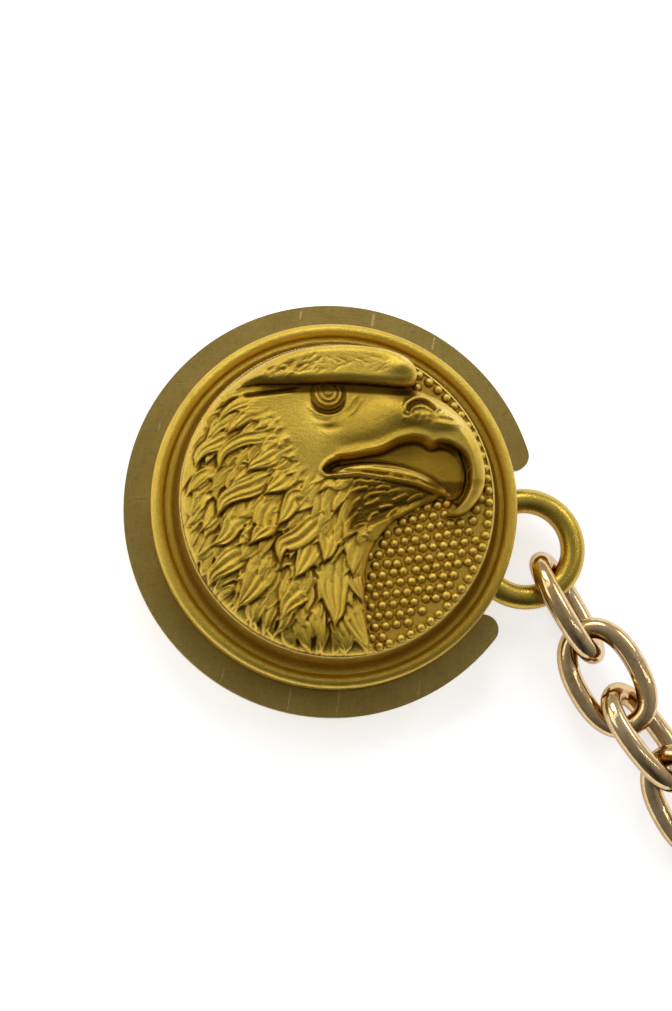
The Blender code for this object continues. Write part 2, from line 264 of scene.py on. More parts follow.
def polished_material():
    """Bright pale gold plating with a little haze, and a painted brown shade on its underside."""
    m = Nodes(bpy.data.materials.new("polished_pale_gold"))
    slow, haze, fine = m.cloud(0.25), m.cloud(1.3, 5, 0.65), m.cloud(12, 3, 0.6)
    # the recess mark on these wires is painted shade on their undersides
    colour = m.coats(
        (0.70, 0.49, 0.24),
        (slow, 0.35, 0.65, 0, 1, (0.80, 0.60, 0.33)),
        (haze, 0.45, 0.75, 0, 0.75, (0.50, 0.30, 0.10)),
        (m.recess(), 0.0, 1.0, 0.0, 0.85, (0.27, 0.135, 0.030)),
    )
    roughness = m.remap(haze, 0.3, 0.75, 0.05, 0.17)
    normal = m.bump(m.plus(haze, m.times(fine, 0.12)), 0.016)
    return m.finish(Base_Color=colour, Roughness=roughness, Normal=normal, Metallic=1.0)


def turned_material(name, dark, light, roughness_low, roughness_high):
    """Machined metal: fine rings round the badge's axis, handling marks and slow tone changes."""
    m = Nodes(bpy.data.materials.new(name))
    waves = {"wave_type": "RINGS", "rings_direction": "Z", "Scale": 1.0, "Distortion": 0.4, "Detail": 2.0}
    rings = m.node("TexWave", "Fac", Vector=m.scaled((1.9, 1.9, 0.0)), **waves)
    slow, scuff = m.cloud(0.3, 4), m.cloud(2.5, 5, 0.7)
    handled = tuple(part * 0.55 for part in dark)
    colour = m.coats(dark, (slow, 0.35, 0.65, 0, 1, light), (scuff, 0.55, 0.8, 0, 0.4, handled))
    roughness = m.remap(scuff, 0.3, 0.75, roughness_low, roughness_high)
    normal = m.bump(m.plus(rings, m.times(scuff, 0.5)), 0.01)
    return m.finish(Base_Color=colour, Roughness=roughness, Normal=normal, Metallic=1.0)


gilt = gilt_material("satin_gilt_brass")
gilt_wire = gilt_material("satin_gilt_wire", 0.76, 0.20, 0.35)
plate_brass = plate_material()
pale_gold = polished_material()
turned_brass = turned_material("turned_brass", (0.58, 0.43, 0.17), (0.68, 0.53, 0.25), 0.25, 0.42)
plated_steel = turned_material("plated_steel", (0.50, 0.49, 0.46), (0.60, 0.59, 0.56), 0.28, 0.45)

# ---------------------------------------------------------------- relief grid
CELL = 0.075
HALF_CELLS = 214
axis = np.arange(-HALF_CELLS, HALF_CELLS + 1) * CELL
GX, GY = np.meshgrid(axis, axis)
# the relief is laid out as it looks from the front, a little below and to the left, then moved back
# over the badge's axis
SHIFT_X, SHIFT_Y, SHRINK = 0.25, 0.42, 0.988
CENTRE_X, CENTRE_Y = SHIFT_X / SHRINK, SHIFT_Y / SHRINK
GR = np.hypot(GX - CENTRE_X, GY - CENTRE_Y) * SHRINK
rng = np.random.default_rng(7)


def smooth_curve(points, closed, per=10):
    """A Catmull-Rom curve through the points."""
    p = np.asarray(points, float)
    if closed:
        p = np.vstack([p[-1], p, p[0], p[1]])
    else:
        p = np.vstack([2 * p[0] - p[1], p, 2 * p[-1] - p[-2]])
    t = np.linspace(0, 1, per, endpoint=False)[:, None]
    runs = []
    for a, b, c, d in zip(p[:-3], p[1:-2], p[2:-1], p[3:]):
        bend = (2 * a - 5 * b + 4 * c - d) * t**2 + (3 * b - a - 3 * c + d) * t**3
        runs.append(0.5 * (2 * b + (c - a) * t + bend))
    if not closed:
        runs.append(p[-2:-1])
    return np.vstack(runs)


def line_distance(line, reach):
    """Distance from every grid point to a polyline, capped at reach."""
    distance = np.full(GX.shape, reach)
    for a, b in zip(line[:-1], line[1:]):
        low = np.minimum(a, b) - reach
        high = np.maximum(a, b) + reach
        i0, i1 = np.searchsorted(axis, (low[0], high[0]))
        j0, j1 = np.searchsorted(axis, (low[1], high[1]))
        x = GX[j0:j1, i0:i1] - a[0]
        y = GY[j0:j1, i0:i1] - a[1]
        run = b - a
        t = np.clip((x * run[0] + y * run[1]) / max(run @ run, 1e-9), 0, 1)
        near = np.hypot(x - t * run[0], y - t * run[1])
        distance[j0:j1, i0:i1] = np.minimum(distance[j0:j1, i0:i1], near)
    return distance


def inside_distance(points, reach):
    """Signed distance to a closed outline: positive inside, capped at reach on both sides."""
    line = smooth_curve(points, True, 6)
    loop = np.vstack([line, line[0]])
    inside = np.zeros(GX.shape, bool)
    for (x0, y0), (x1, y1) in zip(loop[:-1], loop[1:]):
        if y0 == y1:
            continue
        j0, j1 = np.searchsorted(axis, (min(y0, y1), max(y0, y1)))
        for j in range(j0, j1):
            inside[j] ^= axis < x0 + (axis[j] - y0) * (x1 - x0) / (y1 - y0)
    distance = line_distance(loop, reach)
    return np.where(inside, distance, -distance)


def dome(distance, width, height):
    """A rounded rise from an outline: quarter ellipse over a width, then level."""
    t = np.clip(distance / width, 0, 1)
    return height * np.sqrt(np.maximum(0, 1 - (1 - t) ** 2))


def step(value, low, high):
    t = np.clip((value - low) / (high - low), 0, 1)
    return t * t * (3 - 2 * t)


def between(value, start, full, fade, end):
    """0 up to start, 1 from full to fade, and 0 again from end on."""
    return step(value, start, full) * step(-value, -end, -fade)


def bell(value, middle, width):
    """1 at the middle, falling away on both sides."""
    return np.exp(-(((value - middle) / width) ** 2))


def bump_at(x, y, half_x, half_y, height, turn=0.0):
    """A soft oval bump or, with a negative height, a hollow."""
    c, s = math.cos(math.radians(turn)), math.sin(math.radians(turn))
    u = ((GX - x) * c + (GY - y) * s) / half_x
    v = (-(GX - x) * s + (GY - y) * c) / half_y
    return height * np.exp(-1.6 * (u * u + v * v))


def soften(height, rounds=1):
    """Round the relief over a cell, as a struck surface is."""
    for _ in range(rounds):
        for way in (0, 1):
            height = 0.5 * height + 0.25 * (np.roll(height, 1, way) + np.roll(height, -1, way))
    return height


def ridge(points, half_width, height, reach=1.2, fade=0.6):
    """A raised or, with a negative height, an engraved line with fading ends."""
    line = smooth_curve(points, False, 8)
    ends = np.minimum(*(np.hypot(GX - x, GY - y) for x, y in (line[0], line[-1])))
    return height * bell(line_distance(line, reach), 0, half_width) * step(ends, 0.0, fade)


def ridges(lines):
    """Several ridges together, each given as ridge takes it."""
    return sum(ridge(*line) for line in lines)


# ---------------------------------------------------------------- eagle's outlines
def edge_arc(start, end, radius, count):
    turn = np.radians(np.linspace(start, end, count))
    return list(zip(CENTRE_X + radius * np.cos(turn), CENTRE_Y + radius * np.sin(turn)))


HEAD_R = (FIELD_R - 0.06) / SHRINK
HEAD_OUTLINE = edge_arc(80, 283, HEAD_R, 26) + [
    (3.45, -13.6), (3.1, -11.6), (2.9, -9.4), (2.9, -7.3), (3.15, -5.4), (3.85, -3.9), (4.8, -2.6),
    (5.7, -1.7), (7.0, -0.95), (8.2, -0.3), (9.5, 0.25), (10.4, 0.75), (11.4, 0.45), (12.4, 1.2), (12.7, 3.0),
    (12.2, 5.2), (11.6, 8.4), (9.6, 10.2), (7.8, 11.2), (7.0, 13.2), (5.4, 14.4),
]
BEAK_OUTLINE = [
    (5.6, 11.7), (7.8, 11.3), (9.1, 10.8), (10.5, 10.15), (12.0, 9.0), (13.2, 7.55), (14.1, 5.8), (14.6, 4.0),
    (14.7, 2.5), (14.4, 1.2), (13.8, 0.2), (13.0, -0.7), (12.1, -1.15), (11.2, -1.2), (10.6, -0.98),
    (11.35, -0.7), (12.1, 0.05), (12.7, 1.1), (13.0, 2.4), (12.95, 3.7), (12.65, 4.6), (12.0, 5.3),
    (11.1, 5.8), (10.1, 5.95), (9.35, 5.78), (8.5, 6.25), (7.5, 6.4), (6.1, 6.1), (4.5, 5.3), (3.0, 4.95),
    (1.5, 4.65), (0.1, 4.45), (-1.0, 4.8), (-0.5, 6.6), (1.0, 9.5), (3.2, 11.2),
]
LIP_START, LIP_END = 14, 32
BROW_OUTLINE = [
    (-6.6, 11.3), (-3.2, 11.45), (-0.1, 11.6), (3.0, 11.5), (6.3, 11.3), (7.4, 11.55), (7.85, 12.2),
    (7.75, 13.1), (7.05, 14.0), (5.9, 14.7), (3.9, 15.2), (0.9, 15.45), (-2.5, 15.2), (-5.5, 14.4),
    (-8.3, 13.0), (-10.3, 11.4), (-11.4, 10.0), (-9.8, 10.85), (-8.2, 11.2),
]
MOUTH_OUTLINE = [
    (-1.45, 3.0), (-1.1, 3.7), (-0.4, 4.2), (0.1, 4.45), (1.5, 4.65), (3.0, 4.95), (4.5, 5.3), (6.1, 6.1),
    (7.5, 6.4), (8.5, 6.25), (9.35, 5.78), (10.1, 5.95), (11.1, 5.8), (12.0, 5.3), (12.65, 4.6), (12.95, 3.7),
    (13.0, 2.4), (12.7, 1.1), (12.1, 0.05), (11.4, 0.3), (10.7, 1.0), (9.9, 1.75), (8.7, 2.5), (7.5, 3.0),
    (6.0, 3.4), (4.0, 3.6), (2.0, 3.5), (0.3, 3.1), (-0.6, 2.7),
]
JAW_OUTLINE = [
    (-0.9, 2.6), (0.4, 3.15), (2.0, 3.6), (4.0, 3.7), (6.0, 3.5), (7.5, 3.1), (8.8, 2.55), (9.9, 1.9),
    (10.5, 1.25), (10.2, 0.8), (9.4, 1.05), (7.6, 1.5), (5.8, 1.7), (3.6, 2.0), (1.4, 2.1), (-0.4, 1.95),
]
FACE_OUTLINE = [
    (-9.4, 10.7), (-7.2, 9.6), (-5.8, 8.2), (-5.0, 6.8), (-4.3, 5.2), (-3.6, 3.9), (-2.6, 2.9), (-1.3, 2.6),
    (1.0, 3.6), (6.0, 5.0), (12.0, 5.0), (13.0, 9.0), (8.0, 12.0), (-3.0, 12.0), (-7.5, 11.9),
]
CHEEK_EDGE = [(-1.0, 4.8), (-0.5, 6.6), (1.0, 9.5), (3.2, 11.2), (5.6, 11.7)]

# ---------------------------------------------------------------- feathers
# which way the plumage runs: x, y, heading in degrees, over the head and neck
FLOW = np.array([
    (-6.0, 11.2, 190), (-9.5, 9.8, 208), (-12.5, 5.5, 232), (-14.0, 0.5, 252), (-4.5, 9.0, 196),
    (-7.5, 7.0, 205), (-9.5, 3.0, 214), (-5.0, 5.0, 214), (-2.0, 3.5, 222), (-12.0, -2.0, 242),
    (-8.0, -0.5, 224), (-4.5, 0.5, 226), (-1.0, -0.5, 235), (-13.0, -6.5, 250), (-8.5, -5.5, 236),
    (-4.5, -4.5, 246), (-1.5, -4.0, 256), (1.5, -2.5, 236), (-9.0, -10.0, 246), (-5.0, -9.5, 250),
    (-1.5, -8.5, 266), (1.8, -6.5, 262), (2.2, -9.5, 290), (-4.5, -13.0, 262), (0.0, -13.0, 278),
    (2.8, -12.8, 300), (4.5, 0.3, 200), (7.0, 1.0, 196),
], float)
LEAF_ROOT = 0.12                     # the share of its lift that a feather has at its root


def flow_heading(x, y):
    """Heading of the plumage at a place, blended from the nearest directions."""
    weight = 1 / (0.6 + (FLOW[:, 0] - x) ** 2 + (FLOW[:, 1] - y) ** 2) ** 1.6
    turn = np.radians(FLOW[:, 2])
    return math.atan2((weight * np.sin(turn)).sum(), (weight * np.cos(turn)).sum())


def lay_leaf(layer, edge, width, lift, strands, seed):
    """A feather grown from one edge, root to tip: width to the left of travel, or to the right when negative.

    It rises to its tip, has a raised rim and engraved strands, and ends in a steep overhang-like step.
    """
    line = smooth_curve(edge, False, 7)
    along = np.concatenate([[0], np.cumsum(np.hypot(*np.diff(line, axis=0).T))])
    u_line = along / along[-1]
    shape = np.sin(math.pi * np.clip(u_line, 0, 1) ** 0.85) ** 0.8 * (1 - 0.3 * u_line)
    shape = (0.30 * (1 - u_line) ** 2 + shape) * step(1 - u_line, -0.02, 0.25)
    tangent = np.gradient(line, axis=0)
    tangent /= np.hypot(tangent[:, 0], tangent[:, 1])[:, None]
    normal = np.column_stack([-tangent[:, 1], tangent[:, 0]])
    spine = line + normal * (width / 2 * shape)[:, None]
    half_line = np.abs(width) / 2 * shape
    reach = abs(width) * 0.75 + 0.2
    low, high = spine.min(0) - reach, spine.max(0) + reach
    i0, i1 = np.searchsorted(axis, (low[0], high[0]))
    j0, j1 = np.searchsorted(axis, (low[1], high[1]))
    if i1 - i0 < 2 or j1 - j0 < 2:
        return
    x, y = GX[j0:j1, i0:i1], GY[j0:j1, i0:i1]
    best = np.full(x.shape, 99.0)
    u, v, half = np.zeros((3, *x.shape))
    for k in range(len(spine) - 1):
        a, run = spine[k], spine[k + 1] - spine[k]
        t = ((x - a[0]) * run[0] + (y - a[1]) * run[1]) / max(run @ run, 1e-9)
        inner = np.clip(t, 0, 1)
        dx, dy = x - a[0] - inner * run[0], y - a[1] - inner * run[1]
        d = np.hypot(dx, dy)
        near = d < best
        best = np.where(near, d, best)
        u = np.where(near, u_line[k] + inner * (u_line[k + 1] - u_line[k]), u)
        v = np.where(near, np.sign(run[0] * dy - run[1] * dx) * d, v)
        half = np.where(near, half_line[k] + inner * (half_line[k + 1] - half_line[k]), half)
    side = v / np.maximum(half, 0.04)
    spread = np.abs(side)
    phase = np.random.default_rng(seed).uniform(0, 2 * math.pi)
    waver = 0.5 * np.sin(3.5 * u + phase)
    lines = np.cos(side * math.pi * strands * 0.85 + waver + phase) * (1 - step(spread, 0.62, 0.9))
    lines = lines * step(u, 0.08, 0.3) * step(0.97 - u, 0, 0.12)
    rim = bell(spread, 0.84, 0.17) * step(u, 0.1, 0.4)
    rise = lift * (LEAF_ROOT + (1 - LEAF_ROOT) * u**1.15) * (0.80 + 0.20 * (1 - np.clip(spread, 0, 1) ** 2))
    body = rise + (0.085 * rim + 0.045 * lines) * (0.35 + 1.3 * lift)
    patch = layer[j0:j1, i0:i1]
    layer[j0:j1, i0:i1] = np.maximum(patch, body * step(half - np.abs(v), -0.03, 0.07))


def grown_edge(x, y, length, bend):
    """An edge that follows the plumage back from a tip, with a gentle S, returned root first."""
    points = [(x, y)]
    steps = 5
    for k in range(steps):
        turn = flow_heading(x, y) + math.pi + bend * math.sin(2 * math.pi * (k + 0.5) / steps)
        x += length / steps * math.cos(turn)
        y += length / steps * math.sin(turn)
        points.append((x, y))
    return points[::-1]


# the feathers that stand out: edge from root to tip, width to the left (+) or right (-) of travel, lift
# and strands
FEATHERS = [
    # back of the head
    ([(-7.0, 8.2), (-8.2, 8.0), (-9.5, 7.1), (-11.0, 6.2)], -1.1, 0.42, 2),
    ([(-5.6, 10.4), (-8.0, 10.2), (-10.0, 10.0), (-11.4, 9.2)], -0.9, 0.40, 2),
    ([(-7.0, 9.5), (-8.8, 9.2), (-10.6, 8.4), (-11.8, 7.2)], -1.0, 0.40, 2),
    ([(-9.4, 7.8), (-11.0, 6.9), (-12.0, 6.2), (-13.0, 5.7)], -1.1, 0.42, 2),
    ([(-9.6, 6.0), (-11.3, 4.8), (-12.8, 4.2), (-13.9, 2.8)], -1.5, 0.55, 3),
    ([(-5.7, 6.5), (-7.5, 5.5), (-9.0, 5.2), (-10.7, 4.3), (-11.4, 3.0), (-12.1, 2.3)], -1.3, 0.50, 2),
    ([(-4.8, 4.7), (-5.8, 3.6), (-6.8, 3.05), (-8.2, 2.8), (-9.2, 2.5)], -1.7, 0.50, 3),
    ([(-6.8, 3.4), (-8.0, 2.4), (-9.0, 1.9), (-10.6, 1.3)], -1.0, 0.45, 2),
    ([(-6.0, 1.3), (-8.0, 0.25), (-9.5, -0.2), (-10.6, -0.65), (-11.9, -2.1)], -1.9, 0.62, 3),
    ([(-3.7, 3.0), (-4.2, 1.5), (-5.4, 0.75), (-7.5, 0.4)], -1.9, 0.52, 3),
    ([(-11.6, 2.6), (-12.9, 1.6), (-13.8, 0.8), (-14.8, 0.2)], -1.2, 0.45, 2),
    ([(-13.0, 4.0), (-13.7, 2.6), (-14.6, 1.6)], -0.9, 0.42, 1),
    # left of the neck
    ([(-9.2, -0.7), (-10.5, -1.2), (-11.1, -2.0), (-11.4, -3.2), (-12.4, -4.8)], 2.0, 0.58, 3),
    ([(-5.0, 0.2), (-5.5, -1.8), (-6.1, -3.4), (-7.3, -4.0), (-9.0, -4.6)], -2.4, 0.68, 4),
    ([(-8.0, -5.4), (-9.3, -6.7), (-10.5, -7.4), (-11.5, -7.8), (-12.8, -8.6)], -2.2, 0.66, 3),
    ([(-6.8, -5.0), (-8.0, -6.0), (-8.8, -6.9), (-9.2, -8.0), (-9.6, -9.4), (-9.8, -11.0)], 2.5, 0.64, 4),
    ([(-9.3, -7.5), (-10.6, -8.2), (-12.1, -9.1)], -0.9, 0.45, 1),
    ([(-9.6, -8.8), (-10.6, -9.3), (-11.6, -10.1)], -0.8, 0.42, 1),
    ([(-13.4, 0.2), (-14.1, -1.4), (-14.9, -2.9)], 1.0, 0.40, 1),
    ([(-12.4, -2.9), (-13.3, -4.4), (-13.9, -5.9)], 1.0, 0.42, 2),
    ([(-12.9, -5.4), (-13.2, -6.5), (-13.5, -7.6)], 0.9, 0.40, 1),
    ([(-11.9, -0.2), (-12.7, -1.6), (-13.4, -3.4)], 1.1, 0.44, 2),
    ([(-12.0, 0.4), (-13.2, -0.6), (-14.2, -2.0)], -0.9, 0.40, 1),
    ([(-8.4, -9.0), (-8.7, -10.4), (-8.3, -12.4)], 1.7, 0.52, 2),
    ([(-6.6, -9.2), (-7.3, -11.0), (-7.1, -13.3)], 1.3, 0.52, 2),
    # under the cheek
    ([(-2.1, 1.7), (-3.0, 1.2), (-4.3, 1.2), (-5.1, 0.6), (-5.5, -0.6), (-6.0, -3.1)], 2.0, 0.66, 3),
    ([(-1.5, 0.2), (-2.1, -0.9), (-3.2, -1.7), (-4.4, -2.8), (-5.8, -3.7), (-6.1, -5.0), (-5.2, -7.0)],
     2.0, 0.66, 3),
    ([(-0.8, -2.0), (-1.6, -2.9), (-1.9, -3.8), (-1.7, -4.8), (-1.3, -6.4)], 2.1, 0.62, 3),
    ([(-2.6, -2.9), (-3.6, -4.2), (-4.0, -5.3), (-4.2, -6.5), (-4.2, -8.1)], 2.0, 0.64, 3),
    ([(3.7, -1.6), (2.8, -2.4), (1.9, -3.0), (1.1, -3.6), (0.2, -4.0)], -1.5, 0.55, 3),
    ([(0.1, 1.9), (-0.5, 1.4), (-1.2, 1.1), (-2.0, 0.6)], -0.7, 0.42, 1),
    ([(1.1, 0.4), (0.3, -0.4), (-0.4, -1.4)], -0.8, 0.42, 1),
    ([(-0.2, 0.3), (-0.9, -0.5), (-1.3, -1.6)], -0.7, 0.40, 1),
    # front and foot of the neck
    ([(1.4, -2.9), (0.9, -4.6), (0.9, -6.1), (1.7, -7.7)], 1.6, 0.55, 2),
    ([(-1.1, -5.8), (-1.7, -7.2), (-1.7, -9.0), (-0.9, -11.0), (-0.1, -12.8)], 2.6, 0.66, 4),
    ([(-2.2, -9.3), (-2.5, -11.5), (-2.1, -13.0), (-1.3, -15.0)], 1.3, 0.50, 2),
    ([(-1.9, -7.9), (-2.3, -9.3), (-3.3, -10.2), (-4.2, -10.7), (-5.6, -11.9)], -2.3, 0.64, 3),
    ([(-4.6, -6.4), (-5.2, -7.6), (-5.7, -8.8), (-5.6, -10.5), (-5.7, -12.0), (-6.3, -13.5)], 1.7, 0.60, 2),
    ([(-4.3, -10.9), (-4.3, -12.4), (-3.5, -13.8), (-2.3, -14.9)], 1.5, 0.50, 2),
    ([(0.7, -9.2), (0.4, -10.8), (0.8, -12.2), (2.0, -13.7), (3.4, -15.0)], 2.0, 0.58, 4),
    ([(0.9, -6.0), (0.8, -7.5), (1.3, -8.6), (2.8, -10.2)], 1.5, 0.55, 2),
    ([(-0.5, -11.6), (0.1, -13.2), (0.9, -15.0)], 1.6, 0.48, 3),
    ([(-5.4, -12.3), (-5.2, -13.4), (-4.6, -14.6)], 1.3, 0.44, 1),
]


def plumage_layer():
    """All the feathers as one height layer over the head's form: fine ones, then the ones that stand out."""
    layer = np.zeros(GX.shape)
    seed = 100
    across, along = 1.15, 1.5
    for column in np.arange(-15.5, 6.5, across):
        for row in np.arange(-15.5, 13.0, along):
            seed += 1
            x = column + rng.uniform(-0.4, 0.4)
            y = row + (0.6 if int(round(column / across)) % 2 else 0) + rng.uniform(-0.4, 0.4)
            low_neck = float(1 - step(np.array(y), -5.0, 5.0))
            length = rng.uniform(2.6, 4.0) * (1 + 0.2 * low_neck)
            width = rng.uniform(0.75, 1.15) * (1 + 0.45 * low_neck)
            lift = rng.uniform(0.24, 0.36) * (1 + 0.35 * low_neck)
            bend = rng.uniform(-0.55, 0.55)
            if math.hypot(x - CENTRE_X, y - CENTRE_Y) > HEAD_R + 0.6 or (x > -3.4 and y > 3.0):
                continue
            lay_leaf(layer, grown_edge(x, y, length, bend), width * rng.choice((-1, 1)), lift, 1, seed)
    for edge, width, lift, strands in FEATHERS:
        seed += 1
        lay_leaf(layer, edge, width * 1.12, lift * 1.35, strands, seed)
    return layer


# the throat's raised strokes
THROAT = [
    [(3.2, 1.5), (1.8, 1.15), (0.9, 0.5), (0.5, -0.5), (0.1, -1.6)], [(5.0, 1.0), (3.3, 0.75), (2.6, 0.1)],
    [(4.3, 0.45), (3.5, -0.05), (2.6, -0.35)], [(5.4, 1.4), (4.4, 1.5), (3.7, 1.2)],
    [(6.4, 1.25), (5.4, 1.1), (4.8, 0.7)], [(7.0, 0.95), (5.9, 0.4), (5.3, 0.1)],
    [(5.7, -0.25), (4.9, -0.35), (4.0, -0.6)], [(4.3, -0.9), (3.5, -1.2), (2.9, -1.9)],
    [(8.6, 0.9), (7.6, 0.6), (6.8, 0.0)], [(2.4, 0.5), (1.6, -0.2), (1.2, -1.2)],
    [(2.2, -0.9), (1.5, -1.5), (1.1, -2.3)], [(6.3, -0.4), (5.4, -0.8), (4.8, -1.4)],
    [(3.4, -2.0), (2.4, -2.0), (1.4, -2.5)],
]


def throat_strokes():
    """Raised strokes under the jaw, where the feathers are hair-like, with finer random ones round them."""
    strokes = np.zeros(GX.shape)
    for stroke in THROAT:
        strokes = np.maximum(strokes, ridge(stroke, 0.15, 0.24, 0.6, 0.4))
    for _ in range(16):
        x = rng.uniform(0.2, 7.0)
        y = rng.uniform(max(-2.6 + 0.42 * x, -2.2), 1.6 - 0.12 * max(x - 2, 0))
        heading = math.radians(rng.uniform(200, 230))
        length = rng.uniform(0.6, 1.2)
        back = (x - length * math.cos(heading), y - length * math.sin(heading) * 0.8)
        middle = ((x + back[0]) / 2, (y + back[1]) / 2 + 0.12)
        strokes = np.maximum(strokes, ridge([(x, y), middle, back], 0.10, rng.uniform(0.08, 0.13), 0.5, 0.3))
    return strokes


# ---------------------------------------------------------------- eagle's height
# lines, each with its half width, height (below 0 engraved), the reach it is drawn over and its ends' fade
JAW_LINES = [
    ([(0.2, 3.05), (2.0, 3.55), (4.0, 3.62), (6.0, 3.45), (7.5, 3.05), (8.7, 2.55), (9.8, 1.9)],
     0.15, 0.26, 1.2, 1.0),
    ([(0.8, 2.95), (1.6, 3.12), (3.0, 3.25), (4.5, 3.1), (6.0, 2.9), (7.5, 2.55), (8.7, 2.05), (9.6, 1.6)],
     0.13, 0.24, 1.2, 1.0),
    ([(-1.0, 2.45), (0.5, 2.6), (2.0, 2.72), (4.0, 2.5), (6.0, 2.2), (7.5, 1.9), (9.2, 1.4), (10.2, 1.0)],
     0.20, 0.42, 1.4, 0.8),
    ([(0.6, 2.82), (2.0, 3.0), (4.0, 2.85), (6.0, 2.58), (8.0, 2.1)], 0.08, -0.20, 0.6, 0.6),
    ([(-0.4, 2.1), (1.2, 2.28), (4.0, 2.1), (6.0, 1.8), (8.4, 1.3)], 0.10, -0.16, 0.6, 0.6),
    ([(0.4, 4.35), (-0.6, 4.15), (-1.35, 3.5), (-1.5, 2.9), (-1.05, 2.45), (0.2, 2.5)], 0.17, 0.22, 1.2, 0.4),
]
MOUTH_CORNER = ([(-0.9, 3.0), (-0.5, 3.6), (0.5, 4.0)], 0.22, -0.30, 1.2, 0.3)
TONGUE_BUMPS = [(10.4, 0.9, 0.26), (10.9, 0.5, 0.2), (10.8, 1.25, 0.2), (11.3, 0.9, 0.22), (10.3, 0.35, 0.2)]
CROWN_BAND = [(-6.0, 12.6), (-8.0, 12.1), (-9.9, 11.0), (-11.4, 9.7), (-12.5, 8.5)]
BROW_CREASE = [(-3.4, 11.05), (-6.0, 10.6), (-8.0, 10.35), (-9.6, 10.2)]
NOSTRIL = [(6.85, 8.7), (7.0, 9.35), (7.6, 9.8), (8.3, 9.9), (9.0, 9.6), (9.7, 8.95)]
ARCH = [(6.55, 8.55), (6.65, 9.5), (7.3, 10.1), (8.2, 10.3), (9.0, 10.05), (9.7, 9.4), (10.1, 8.85)]
FACE_LINES = [
    ([(-3.1, 9.5), (-2.1, 8.7), (-1.0, 8.45), (0.1, 8.7), (0.8, 9.3)], 0.15, 0.10),
    ([(-2.6, 8.5), (-1.6, 7.9), (-0.4, 7.9)], 0.20, -0.08),
    ([(0.8, 8.9), (1.3, 9.7), (1.9, 10.5)], 0.10, 0.12, 0.6, 0.4),
    ([(1.2, 8.4), (1.8, 9.1), (2.5, 10.2)], 0.10, 0.12, 0.6, 0.4),
    ([(1.05, 8.7), (1.6, 9.4), (2.2, 10.3)], 0.09, -0.03, 0.6, 0.4),
    (ARCH, 0.22, 0.30, 1.0, 0.4),
    (NOSTRIL, 0.28, -0.36, 1.0, 0.3),
    ([(7.0, 8.75), (7.5, 9.2), (8.3, 9.3), (9.0, 9.0), (9.4, 8.75)], 0.18, 0.20, 1.0, 0.3),
    ([(9.6, 9.5), (10.6, 8.75), (11.5, 8.1), (12.4, 7.2)], 0.30, 0.16, 1.4, 0.7),
    ([(8.8, 7.7), (10.4, 7.6), (11.6, 7.45)], 0.26, 0.12, 1.4, 0.7),
    ([(9.6, 8.2), (10.6, 8.1), (11.6, 7.8)], 0.16, -0.12, 1.0, 0.5),
]
NOSTRIL_GRAINS = [
    (7.1, 8.35), (7.7, 8.55), (8.3, 8.45), (8.9, 8.5), (7.4, 8.0), (8.1, 8.0), (8.8, 8.05), (6.6, 8.2),
]
CHEEK_FLECKS = [
    (-4.3, 5.2), (-4.1, 4.4), (-5.0, 5.5), (-6.5, 3.7), (-6.2, 6.3), (-5.5, 8.0), (-5.3, 7.2), (-4.6, 6.2),
]


